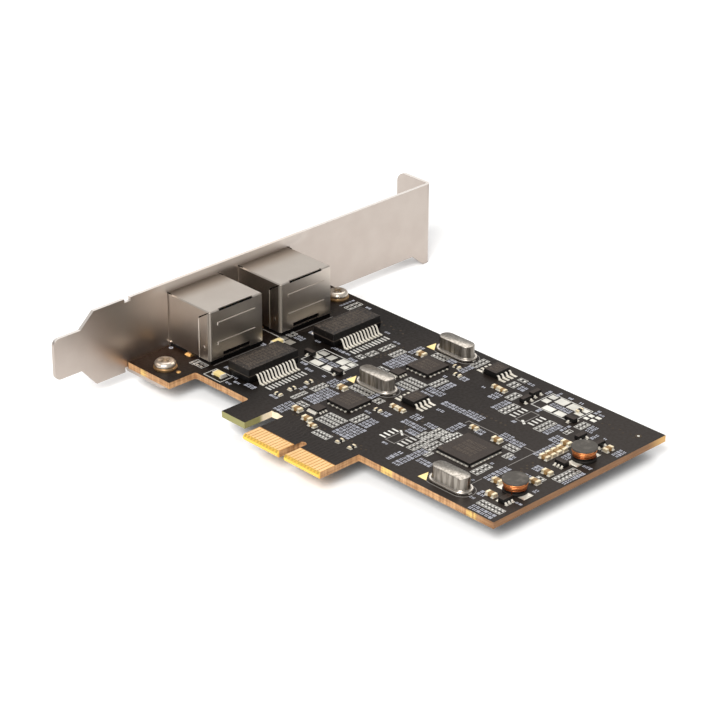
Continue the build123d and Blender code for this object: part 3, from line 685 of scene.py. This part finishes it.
# x and y of two corners, columns and rows
LABELS = [
    (0.1, 14.8, 5.5, 20.8, 5, 6), (1.7, 21.2, 4.5, 25.6, 3, 4), (1.6, 28.1, 3.9, 30.1, 2, 2),
    (-16.8, 12.7, -13.6, 18.2, 3, 5), (-15.7, 20.8, -11.4, 28.6, 4, 8), (-15.7, 45.7, -11.4, 53.5, 4, 8),
    (-15.9, 54.2, -14.2, 58.8, 2, 5), (-15.9, 29.3, -14.4, 36.3, 2, 7), (-17.7, 29.9, -16.1, 33, 2, 3),
    (-10.2, 30.8, -7, 31.8, 3, 1), (-6, 31.6, -4.5, 34.7, 1, 3), (0.1, 43.6, 5.3, 45.9, 5, 2),
    (0.1, 42.3, 4, 43.2, 4, 1), (1.7, 46.1, 3.9, 50.7, 2, 5), (-1.3, 55.8, 0.7, 59.9, 2, 4),
    (1.7, 52.9, 3.9, 55, 2, 2), (7.3, 28.8, 14, 30.9, 6, 2), (10.9, 26.4, 14.3, 28.4, 3, 2),
    (16.6, 14.8, 18.3, 19.5, 1, 4), (19.2, 14.3, 21.5, 23.8, 2, 9), (22, 18.7, 26.4, 20.7, 4, 2),
    (7.4, 41.3, 13.9, 43.4, 6, 2), (13.9, 41.4, 19.4, 44.1, 5, 3), (11.8, 31.5, 15, 33.4, 3, 2),
    (7, 31.7, 9.8, 34.4, 2, 3), (16.6, 33.6, 18.8, 38.4, 2, 4), (21.7, 37.1, 24, 39.4, 2, 2),
    (26.6, 39.3, 29.9, 42.1, 3, 3), (30, 39.3, 33.9, 41.4, 4, 2), (12.1, 51.4, 14.6, 54.7, 2, 3),
    (16.2, 48.3, 18.3, 53.4, 2, 5), (14.1, 62.4, 16.2, 63.7, 2, 1), (14.1, 58.9, 16.3, 61.3, 2, 2),
    (32.1, 47.8, 33.9, 53.4, 2, 6), (34.1, 51.2, 35, 54.7, 1, 3), (37.7, 56.1, 39.8, 58.4, 2, 3),
    (38, 55.2, 40.2, 56, 2, 1), (49.1, 51.1, 51.2, 54.5, 2, 4), (35.2, 46.2, 38.9, 49.6, 3, 3),
    (37.2, 39.1, 38.9, 46.1, 2, 7), (50.1, 34.1, 51.4, 41, 1, 8), (41.5, 34.1, 43.6, 36.5, 2, 3),
    (42.2, 30.8, 44.4, 32, 2, 1), (43.6, 12.3, 50.4, 14.6, 6, 2), (40.8, 17.8, 43, 20.1, 2, 2),
    (40.6, 15.7, 42.3, 16.7, 2, 1), (37.1, 23.7, 39.2, 31, 2, 6), (48.3, 26.9, 49.6, 28.5, 1, 2),
    (49, 20.9, 51, 21.7, 2, 1), (35.2, 33.6, 36.3, 35.7, 1, 2), (33.8, 29.3, 34.9, 30.3, 1, 1),
    (-29.8, 42.8, -25.5, 44.1, 4, 1), (-25.3, 43.1, -23.7, 44, 2, 1), (-29.7, 15.5, -26.4, 17.2, 3, 2),
    (-23, 41.6, -20.3, 43, 3, 1), (-39.7, 40.1, -37, 42.2, 3, 2), (-45, 60, -44.2, 65, 1, 5),
    (-39.4, 18, -37.4, 19.5, 2, 1), (-39.4, 44.4, -37.4, 46, 2, 1), (-35.2, 16.2, -32.6, 17.4, 2, 1),
    (-35.2, 42.6, -33.3, 43.9, 2, 1), (-33.6, 13.3, -31.6, 14.2, 2, 1), (-32.5, 14.8, -30.4, 15.8, 2, 1),
    (-22, 16.3, -19.3, 17.3, 3, 1), (-29.3, 32.4, -27, 33.6, 2, 1), (-26.2, 31, -23.6, 32.2, 3, 1),
    (-20.8, 31.3, -19.5, 32.4, 1, 1), (-42.6, 31.9, -41, 33.3, 1, 2), (-19.8, 23.2, -18.6, 25.6, 1, 2),
    (23.9, 46.6, 25.3, 47.7, 1, 1), (8.6, 38.5, 11, 39.8, 2, 1), (11.2, 19.2, 12.9, 20.1, 2, 1),
    (22.4, 62.9, 23.3, 65.1, 1, 2), (25.2, 63.9, 26.7, 64.9, 1, 1), (28.4, 63.9, 29.9, 64.9, 1, 1),
    (34, 62.6, 35, 64.8, 1, 2), (35.3, 62.8, 36.9, 63.7, 2, 1), (41, 53.3, 42.2, 55.9, 1, 3),
    (43.2, 55.2, 44.4, 56, 1, 1), (20, 61.9, 21.2, 64, 1, 2), (24.2, 54.2, 25.4, 55.9, 1, 2),
    (48.3, 42.6, 50.8, 43.8, 3, 1), (42.4, 42, 44.6, 45.2, 2, 3), (7.9, 53.8, 9.3, 54.7, 1, 1),
    (-1.8, 26.4, 0.3, 27.4, 2, 1), (-5, 39.7, -2.6, 40.7, 2, 1), (-6.4, 57.3, -4.1, 59.3, 2, 2),
    (-1.8, 51.2, -0.4, 52.3, 1, 1), (36, 21.2, 37, 22.1, 1, 1), (3.7, 36, 4.9, 37.2, 1, 1),
    (-27.2, 57.7, -25.4, 58.5, 2, 1), (-22.2, 55.5, -19.8, 56.4, 2, 1), (-40, 63.8, -38.2, 64.7, 2, 1),
    (-27.4, 36.7, -24.9, 38.1, 3, 2), (-24.6, 36.7, -21.3, 38.2, 3, 2), (24.5, 58.5, 30.5, 60.2, 6, 2),
]

# x and y of two corners of bright bare pads; two groups of them have frames
PADS = [
    (-29.8, 36.8, -27.5, 38.4), (-29.8, 39, -27.5, 40.7), (-26.7, 38.4, -24.8, 40.6),
    (-23.5, 38.6, -21.2, 41.1), (-20.9, 37.4, -19.2, 39), (-20.9, 39.5, -19.2, 41),
    (-27.9, 34.4, -24.8, 36.3), (-23.9, 34.4, -21.2, 36.3), (24.4, 60.5, 27.3, 63), (27.9, 60.5, 30.6, 63),
    (24.4, 56.3, 27.3, 58.2), (27.9, 56.3, 30.5, 58.2), (22, 58.8, 23.8, 60.5), (22, 61.1, 23.8, 62.8),
    (31.1, 59.5, 33.1, 60.9), (31.1, 61.5, 33.1, 63), (34, 59.3, 35.2, 60.3), (34, 60.9, 35.3, 62),
    (35.7, 59.6, 37.1, 60.6), (35.7, 61.3, 37.1, 62.3), (-42.3, 37.5, -40.1, 39.2), (-39.6, 37, -37.3, 39),
]
for box in PADS:
    bare_pads.between(*box, 0, SKIN + 0.03, 0.02)
printed(FOOTPRINTS, LABELS, 0)
for box in ((-30.2, 34.0, -18.9, 41.4), (21.6, 56.0, 33.5, 63.3)):
    ink.frame(*box, 0.16, *PRINT)

# Twelve bare pads beyond each transformer, and the two empty eight-lead places
for first in (18.55, 45.0):
    for n in range(12):
        dull_pads.block(-24.4, first + n, 1.9, 0.45, 0, SKIN + 0.02, bevel=0.015)
for left, right, first in (((8.4, 10.5), (13.9, 16.0), 21.5), ((21.5, 23.5), (27.0, 29.0), 49.0)):
    for n in range(4):
        for low, high in (left, right):
            y = first + n * 1.29
            dull_pads.between(low + 0.1, y - 0.24, high - 0.1, y + 0.24, 0, SKIN + 0.02, 0.015)
thin_ink.frame(10.9, 20.9, 13.6, 25.5, 0.18, *PRINT)
thin_ink.frame(24.0, 48.3, 26.4, 53.4, 0.18, *PRINT)
ink.stroke([(10.3, 26.2), (12.2, 24.8)], 0.5, *PRINT)
ink.stroke([(25.4, 49.0), (27.0, 47.9)], 0.6, *PRINT)

# Outline round the switch chip, and outlines and gold corner marks of the crystals
for line in (
    [(17.6, 38.9), (17.6, 40.15), (26.4, 40.15)], [(34.1, 40.15), (37.45, 40.15), (37.45, 31.5)],
    [(37.45, 23.4), (37.45, 20.0)],
):
    thin_ink.stroke(line, 0.17, *PRINT)
for x, y in CRYSTALS:
    rim = [point[:2] for point in circle(0, 0, 2.85, 0, 24)]
    right = sorted(((x + 3.5 + u, y + v) for u, v in rim if u >= -0.01), key=lambda place: place[1])
    left = sorted(((x - 3.5 + u, y + v) for u, v in rim if u <= 0.01), key=lambda place: -place[1])
    thin_ink.stroke(right + left, 0.12, *PRINT, closed=True)
    mark = [(x - 7.2, y - 2.6), (x - 4.7, y - 2.6), (x - 6.9, y + 0.3)]
    pale_gold.loft(*[[(*point, z) for point in mark] for z in (0, 0.08)])

# Outlines at the lamps and behind the sockets, and a ring beside the first one
ink.stroke([(-48.0, 38.1), (-42.3, 38.1)], 0.2, *PRINT)
ink.frame(-39.9, 12.7, -34.2, 16.5, 0.15, *PRINT)
for row in JACK_ROWS:
    thin_ink.stroke([(-41.5, row - 7.6), (-41.5, row + 8.2)], 0.1, *PRINT)
label_ink.ring(-55.3, 16.0, 0.25, 0.5, *PRINT)

# Gold round the screws and at the small holes
screw_rings = Shape()
for y in (8.6, 63.1):
    screw_rings.ring(-48.6, y, 2.3, 2.78, 0, 0.3, 48)
gold_pads.disc(-44.6, 9.2, 0.55, 0, 0.06, 0.5)
bare_pads.disc(*BOARD_HOLE, 0.3, 0, 0.05)

# Solder that climbs the feet of the parts: how far it spreads and how high it climbs
SOLDERED = {
    "transformer_leads_a": (0.14, 0.14), "transformer_leads_b": (0.14, 0.14), "regulator_leads": (0.16, 0.2),
    "transistor_leads": (0.2, 0.25), "capacitor_ends": (0.28, 0.42), "resistor_ends": (0.24, 0.3),
    "lamp_ends": (0.25, 0.35), "inductor_clips_a": (0.3, 0.14), "inductor_clips_b": (0.3, 0.14),
}
for node, (spread, rise) in SOLDERED.items():
    steps = ((2 * spread, 0), (2 * spread - 0.04, 0.04), (0.7 * spread, 0.04 + rise * 0.4), (0.06, rise))
    for low, high in islands(node, 0.3):
        place, length, across = middle(low, high), high[0] - low[0], high[1] - low[1]
        solder.loft(*[corners(*place, length + wider, across + wider, z) for wider, z in steps])

# Wide metal ends of the chip capacitors and resistors
for node, wider in (("capacitor_ends", 0.36), ("resistor_ends", 0.2)):
    for low, high in islands(node):
        length, across = high[0] - low[0] + 0.04, high[1] - low[1] + 0.04
        if length < across:
            length += wider
        else:
            across += wider
        end_caps.block(*middle(low, high), length, across, 0.02, high[2] + 0.02, bevel=0.06)


def rim_solder(node, inset, reach, rise):
    """Row of soldered pads along each side of a square chip."""
    pitch = 0.5
    low, high = box_of(node)
    (x, y), half = middle(low, high), (high.x - low.x) / 2
    count = int((2 * half - 2 * inset) / pitch) + 1
    outer, inner = half + reach, half - 0.3
    profile = [(inner, 0), (outer, 0), (outer, 0.08), (half + 0.05, rise), (inner, rise)]
    for turn in (0, 90, 180, 270):
        c, s = math.cos(math.radians(turn)), math.sin(math.radians(turn))
        for n in range(count):
            v = (n - (count - 1) / 2) * pitch
            sides = []
            for w in (v - 0.22, v + 0.22):
                sides.append([(x + u * c - w * s, y + u * s + w * c, z) for u, z in profile])
            rims.loft(sides[1], sides[0])


rim_solder("controller_chip_a", 0.7, 0.26, 0.12)
rim_solder("controller_chip_b", 0.7, 0.26, 0.12)
rim_solder("switch_chip", 0.4, 0.4, 0.24)

# Solder at the two leadless chips
for x, y in ((-9.5, 44.9), (-9.2, 19.6)):
    solder.loft(corners(x, y - 1.75, 2.7, 0.9, 0), corners(x, y - 1.6, 2.6, 0.5, 0.4))
    for n in range(3):
        foot = y - 0.85 + n * 0.85
        solder.loft(corners(x + 1.7, foot, 0.7, 0.45, 0), corners(x + 1.52, foot, 0.3, 0.4, 0.3))

# Long soldered pads under the leads of the memory chips
for node in ("memory_leads_a", "memory_leads_b"):
    x, y = middle(*box_of(node))
    for n in range(4):
        for side in (-1, 1):
            solder.block(x + side * 3.4, y + (n - 1.5) * 1.27, 1.9, 0.72, 0, 0.1, bevel=0.04)

# Solder at the pins and shell legs of the sockets: radius and depth of each step of a pin
PIN = ((0.2, 1.2), (0.28, 0.5), (0.46, 0))
for row in JACK_ROWS:
    for n in range(8):
        place = ((-44.2, -43.2)[n % 2], row + (n - 3.5) * JACK_PIN_PITCH)
        solder.loft(*[circle(*place, radius, UNDER - depth, 12) for radius, depth in PIN])
    for side in (-7.85, 7.85):
        place = (SHELL_LEG_X, row + side)
        solder.loft(corners(*place, 1.5, 0.5, UNDER - 0.5), corners(*place, 2.3, 1.2, UNDER))
        steps = ((1.03, 2.0, 1.2, 0), (1.03, 1.8, 0.9, 0.2), (1.01, 1.2, 0.5, 0.5))
        gold_pads.loft(*[corners(SHELL_LEG_X, row + side * out, *size) for out, *size in steps])

# Print and pads on the underside, in the same form
UNDER_FOOTPRINTS = {
    "x": [
        (-4, 20.5, 4, 22.4, 6), (22, 36.5, 34, 38.4, 8), (-4, 56.5, 6, 58.4, 7), (8, 14, 18, 15.9, 7),
        (-34, 34, -24, 35.9, 7), (20, 58, 30, 59.9, 7),
    ],
    "y": [
        (-14, 22, -12, 30, 6), (18, 22, 20, 34, 8), (-14, 46.5, -12, 54.5, 6), (40, 20, 42, 30, 7),
        (34, 44, 36, 52, 6), (-38, 56, -36, 63, 5),
    ],
}
UNDER_LABELS = [
    (-10.5, 22, -6.5, 30, 4, 7), (-3.5, 23.4, 3.5, 25.4, 7, 2), (21, 24, 27, 34, 6, 8),
    (22, 39.5, 34, 41.5, 10, 2), (-10.5, 46.5, -6.5, 54.5, 4, 7), (-4, 59.5, 6, 61.5, 9, 2),
    (43, 20, 46, 30, 3, 8), (37, 44, 40, 52, 3, 7), (8, 17, 18, 19, 9, 2), (-34, 37, -24, 39, 9, 2),
    (20, 61, 30, 63, 9, 2),
]
printed(UNDER_FOOTPRINTS, UNDER_LABELS, UNDER - SKIN)

# Traces under the mask, as slight ridges, and the rings of small plated holes
traces = Shape()
vias = Shape()
vias.ring(*BOARD_HOLE, 0.3, 0.75, 0, 0.03)


def route(line, width, below=False):
    """One trace, on the upper face or on the underside."""
    rise = 0.012
    low = UNDER - rise if below else 0
    traces.stroke(line, width, low, low + rise)


def hole_ring(x, y):
    """Rings of one small plated hole on both faces."""
    for low in (0, UNDER - 0.02):
        vias.ring(x, y, 0.13, 0.26, low, low + 0.02, 14)


# From the sockets to the transformers
for row, centre in zip(JACK_ROWS, TRANSFORMER_ROWS):
    for n in range(8):
        start, end = row + (n - 3.5) * JACK_PIN_PITCH, centre + (n - 3.5)
        route([(-41.6, start), (-40.8, start), (-39.4, end), (-38.4, end)], 0.18)
        route([(-43.2, start), (-38.5, end), (-36.0, end)], 0.22, True)

# From the transformers to the controller chips
for centre, chip in zip(TRANSFORMER_ROWS, (27.0, 51.9)):
    for n in range(12):
        start, end = centre + (n - 5.5), chip + (n - 5.5) * 0.45
        route([(-23.3, start), (-22.6 + 0.2 * (n % 3), start), (-18.6, end), (-11.6, end)], 0.15)
        route([(-24.0, start), (-19.0, start), (-15.0, end), (-11.0, end)], 0.18, True)
        hole_ring(-18.9 + 0.7 * (n % 2), 0.5 * (start + end))

# From the contacts inwards
for n in range(11):
    for side, shift in ((-1, -5.8), (1, 5.9)):
        x = shift + (n - 5) * 0.98
        top = 9.2 + 0.6 * (n % 4)
        route([(x, 4.9), (x, top), (x + side * 0.6, top + 0.8), (x + side * 0.6, 13.6 + 0.5 * (n % 3))], 0.2)
        hole_ring(x + side * 0.6, 14.0 + 0.5 * (n % 3))
        route([(x, 4.9), (x, 12.0), (x + 2 * side, 15.0), (x + 2 * side, 20.0 + n * 0.4)], 0.2, True)

# Round the switch chip, and loose rows elsewhere
for n in range(9):
    y = 26.2 + n * 0.9
    route([(2.0 + 0.4 * n, y), (9.6, y), (12.4, y + 1.6), (21.4, y + 1.6)], 0.15)
    route([(33.0, y), (37.0, y), (40.5, y + 3.5), (46.0, y + 3.5)], 0.15)
    route([(-3.0, y + 18), (8.0, y + 18), (14.0, y + 12), (30.0, y + 12)], 0.18, True)
    hole_ring(9.9 + 0.8 * (n % 2), y)
    hole_ring(40.2 + 0.8 * (n % 2), y + 2.9)
for n in range(7):
    x = 16.0 + n * 1.4
    route([(x, 45.0), (x, 47.2), (x + 0.8, 48.0)], 0.15)
    hole_ring(x, 44.6)
    hole_ring(38.6 + n * 1.5, 60.6 + 0.7 * (n % 2))
    hole_ring(-33.0 + n * 1.6, 60.4 + 0.8 * (n % 2))
    route([(-33.0 + n * 1.6, 60.0), (-33.0 + n * 1.6, 42.0), (-28.0 + n * 1.6, 37.0)], 0.2, True)

ink.piece("board_outline_marks", "ink")
label_ink.piece("board_field_marks", "label_ink")
thin_ink.piece("board_thin_lines", "thin_ink")
bare_pads.piece("bare_pads", "bare_tin")
dull_pads.piece("footprint_pads", "dull_tin")
gold_pads.piece("gold_pads", "gold_pad", smooth=True)
screw_rings.piece("screw_rings", "worn_gold", smooth=True)
pale_gold.piece("crystal_marks", "pale_gold")
end_caps.piece("end_caps", "cream_tin", bevel=0.02)
rims.piece("chip_rims", "rim_tin")
solder.piece("solder_joints", "solder", bevel=0.03)
traces.piece("mask_ridges", "trace")
vias.piece("plated_holes", "via")


# Parts that are finer than their solids

# Crystal cans: drawn can with its flare, flange and seat, a little above the middle of its outline
for number, (x, y) in enumerate(CRYSTALS, 1):
    y += 0.1
    can = Shape()
    profile = [(0.3, 0.4), (0.22, 0.57), (0.08, 0.64), (0, 0.8), (0, 3.38), (-0.04, 3.48), (-0.14, 3.55)]
    can.loft(*[oval(x, y, 4.95 + out, 1.82 + out, z) for out, z in profile])
    replaced = (f"crystal_can_{number}",)
    can.piece(f"crystal_body_{number}", "can", smooth=True, stands_for=replaced)
    flange = Shape()
    profile = [(0.5, 0.08), (0.58, 0.14), (0.58, 0.5), (0.52, 0.57), (0.1, 0.57)]
    flange.loft(*[oval(x, y, 5.0 + out, 1.88 + out, z) for out, z in profile])
    flange.piece(f"crystal_flange_{number}", "flange", smooth=True)
    seat = Shape()
    seat.loft(*[oval(x, y, 5.3 + out, 2.18 + out, z) for out, z in ((0, 0), (0, 0.08))])
    seat.piece(f"crystal_insulator_{number}", "seat", stands_for=(f"crystal_seat_{number}",))
    feet = Shape()
    for side in (-1, 1):
        feet.block(x + side * 5.2, y, 1.1, 0.9, 0, 0.09, bevel=0.03)
    feet.piece(f"crystal_leads_{number}", "dull_tin", stands_for=(f"crystal_feet_{number}",))

# Inductors: drum and turns of wire
for letter, x, y, turn in (("a", 45.9, 24.6, 0), ("b", 46.5, 45.6, 90)):
    drum = Shape()
    drum.lathe(x, y, [(2.0, 0.5), (2.0, 2.8), (2.84, 2.8), (2.9, 2.86), (2.9, 3.17), (2.84, 3.25)])
    replaced = (f"inductor_core_{letter}",)
    drum.piece(f"inductor_drum_{letter}", "ferrite", smooth=True, stands_for=replaced)
    base = Shape()
    base.lathe(x, y, [(2.7, 0.15), (2.78, 0.22), (2.78, 0.62), (2.7, 0.7)])
    base.piece(f"inductor_base_{letter}", "ferrite_base", smooth=True)
    coil = Shape()
    turns, steps = 4, 48
    winding = []
    for n in range(turns * steps + 1):
        a = 2 * math.pi * n / steps
        share = n / (turns * steps)
        spread = 2.3 + 0.3 * share + 0.06 * math.sin(n / steps * 2.4)
        winding.append((x + spread * math.cos(a), y + spread * math.sin(a), 0.9 + 1.7 * share))
    coil.tube(winding, 0.18, 16)
    a = math.radians(turn - 62)
    end = (x + 2.6 * math.cos(a), y + 2.6 * math.sin(a))
    slant = [(end[0] - 0.5, end[1] - 0.2, 2.3), (end[0] - 0.1, end[1], 1.4), (end[0], end[1] - 0.1, 0.4)]
    coil.tube(slant, 0.13, 16)
    replaced = (f"inductor_winding_{letter}",)
    coil.piece(f"inductor_coil_{letter}", "copper", smooth=True, stands_for=replaced)

# Formed leads: count on a side, pitch, and half body, half span, level, foot and width of a lead
LEADED = {
    "transformer": (12, 1.0, 3.6, 6.0, 1.81, 0.9, 0.34),
    "memory": (4, 1.27, 1.95, 3.0, 0.7, 0.35, 0.42),
}
for kind, (count, pitch, *form) in LEADED.items():
    for letter in "ab":
        node = f"{kind}_leads_{letter}"
        x, y = middle(*box_of(node))
        leads = Shape()
        for n in range(count):
            for side in (-1, 1):
                leads.gull(x, y + (n - (count - 1) / 2) * pitch, side, *form)
        leads.piece(f"formed_{node}", "tin", smooth=True, stands_for=(node,))

# Sockets: black sheets of painted shadow in the slit and gaps of the shell, its side flap with a painted
# highlight on the bend, and its foot and lug
shell_shadow_sheets = Shape()
shell_beads = Shape()
flap_bends_with_highlight = Shape()
for row in JACK_ROWS:
    shell_shadow_sheets.between(-42.49, row - 5.08, -42.01, row + 5.08, 12.955, 12.97)
    shell_shadow_sheets.between(-42.6, row - 4.08, -42.33, row + 4.08, 0.05, 2.28)
    shell_beads.between(-42.32, row - 4.1, -42.2, row + 4.1, 0.96, 1.3)
    shell_shadow_sheets.between(-42.3, row - 7.7, -42.05, row + 7.9, 0.04, 0.93)
    for side in (-1, 1):
        wall = row + side * 8.0
        gap = [(-45.75, 10.86), (-42.55, 12.97), (-42.55, 13.25), (-45.75, 11.24)]
        shell_shadow_sheets.loft(*[[(x, y, z) for x, z in gap] for y in (wall, wall + side * 0.06)])
        shell_shadow_sheets.block(-56.3, row + side * 7.86, 1.8, 0.3, 13.38, 13.42)
        # Bead on the bend of the flap, in the paler painted-highlight metal
        flap_bends_with_highlight.tube([(-45.7, wall + side * 0.14, 0.97), (-45.7, wall + side * 0.14, 10.8)], 0.15, 12)
        lug = []
        for share, out in ((1, 0), (0.85, 0.05), (0.5, 0.08)):
            rim = circle(0, 0, share, 0, 20)
            lug.append([(-43.95 + 0.36 * u, wall + side * (0.2 + out), 4.0 + 0.62 * v) for u, v, _ in rim])
        shell_beads.loft(*lug)
    shell_beads.block(-56.25, row - 8.1, 0.6, 0.4, 0.35, 1.3, bevel=0.1)
shell_shadow_sheets.piece("shell_shadow_sheets", "black")
flap_bends_with_highlight.piece("flap_bends_with_highlight", "flap", smooth=True)
shell_beads.piece("shell_beads", "shell", smooth=True)

# Faint marks on the packages: two corners, columns, rows and height of the package
marks = Shape()
for *box, top in (
    (-34.9, 18.0, -29.9, 30.0, 5, 11, 3.6), (-34.9, 44.6, -29.9, 56.6, 5, 11, 3.6),
    (-9.2, 24.8, -4.8, 29.4, 5, 4, 0.85), (-9.2, 49.6, -4.8, 54.2, 5, 4, 0.85),
    (24.4, 27.4, 30.0, 33.2, 6, 4, 0.85), (1.8, 36.3, 4.1, 39.6, 3, 3, 1.5),
    (4.8, 59.7, 7.1, 63.1, 3, 3, 1.5),
):
    label(*box, top - 0.02, marks)
for x, y, top in (
    (-34.6, 17.4, 3.6), (-34.6, 43.8, 3.6), (-9.6, 24.2, 0.85), (-9.6, 49.0, 0.85), (22.9, 25.8, 0.85),
):
    marks.ring(x, y, 0.25, 0.4, top - 0.02, top + 0.012)
marks.piece("package_marks", "faint")


# Floor, light and camera

def build_floor():
    """Pale floor just below the card, a little paler to the camera, that keeps the shadows."""
    height, side = -0.0057, 6
    mesh = bpy.data.meshes.new("floor")
    mesh.from_pydata(corners(0, 0, side, side, height), [], [(0, 1, 2, 3)])
    floor = placed("floor", mesh)
    finish = Finish("pale_floor", (247, 247, 247), 0.9, specular=0.1)
    path = finish.tree.nodes.new("ShaderNodeLightPath")
    finish.paint(finish.span(path.outputs["Is Camera Ray"], 0.0, 1.0, 0.93, 0.95))
    seen = finish.combine("MAXIMUM", path.outputs["Is Camera Ray"], path.outputs["Is Glossy Ray"])
    glow = finish.node("ShaderNodeEmission", {"Color": (0.95, 0.97, 1.0, 1), "Strength": 0.03})
    none = finish.node("ShaderNodeEmission", {"Strength": 0.0})
    lit = finish.node("ShaderNodeMixShader", {0: seen, 1: none.outputs[0], 2: glow.outputs[0]})
    both = finish.node("ShaderNodeAddShader", {0: finish.shader.outputs[0], 1: lit.outputs[0]})
    out = finish.tree.nodes["Material Output"]
    finish.tree.links.new(both.outputs[0], out.inputs["Surface"])
    mesh.materials.append(finish.material)


def build_light(name, place, size, power, colour):
    """Square area lamp in watts, turned to the middle of the card."""
    target = Vector((0, 0.03, 0))
    lamp = bpy.data.lights.new(name, "AREA")
    lamp.shape = "SQUARE"
    lamp.size = size
    lamp.energy = power
    lamp.color = colour
    thing = placed(name, lamp)
    thing.location = place
    thing.rotation_euler = (target - Vector(place)).to_track_quat("-Z", "Y").to_euler()


def build_world():
    """Soft light from all sides, and plain white where the camera sees past the floor."""
    world = bpy.data.worlds.new("studio")
    bpy.context.scene.world = world
    world.use_nodes = True
    tree = world.node_tree
    back = tree.nodes["Background"]
    path = tree.nodes.new("ShaderNodeLightPath")
    level = tree.nodes.new("ShaderNodeMapRange")
    tree.links.new(path.outputs["Is Camera Ray"], level.inputs["Value"])
    level.inputs["To Min"].default_value = 0.55
    level.inputs["To Max"].default_value = 1.0
    back.inputs["Color"].default_value = (1, 1, 1, 1)
    tree.links.new(level.outputs[0], back.inputs["Strength"])


def build_camera():
    """Camera at the photograph's viewing angle, solved from the bracket, board and sockets."""
    camera = bpy.data.cameras.new("camera")
    camera.lens = 127.76
    camera.sensor_width = 36
    camera.clip_start = 0.01
    thing = placed("camera", camera)
    right = Vector((0.69444, 0.71954, 0.00446))
    ahead = Vector((-0.64145, 0.62185, -0.44927))
    turn = Matrix((right, right.cross(ahead), -ahead)).transposed()
    thing.matrix_world = Matrix.Translation((0.35774, -0.32316, 0.26491)) @ turn.to_4x4()
    bpy.context.scene.camera = thing


build_floor()
build_light("back", (-0.35, 0.4, 0.75), 0.7, 3.0, (1.0, 0.98, 0.96))
build_light("front", (0.3, -0.6, 0.65), 0.5, 10.0, (1.0, 0.99, 0.97))
build_world()
build_camera()
bpy.context.scene.view_settings.view_transform = "Standard"
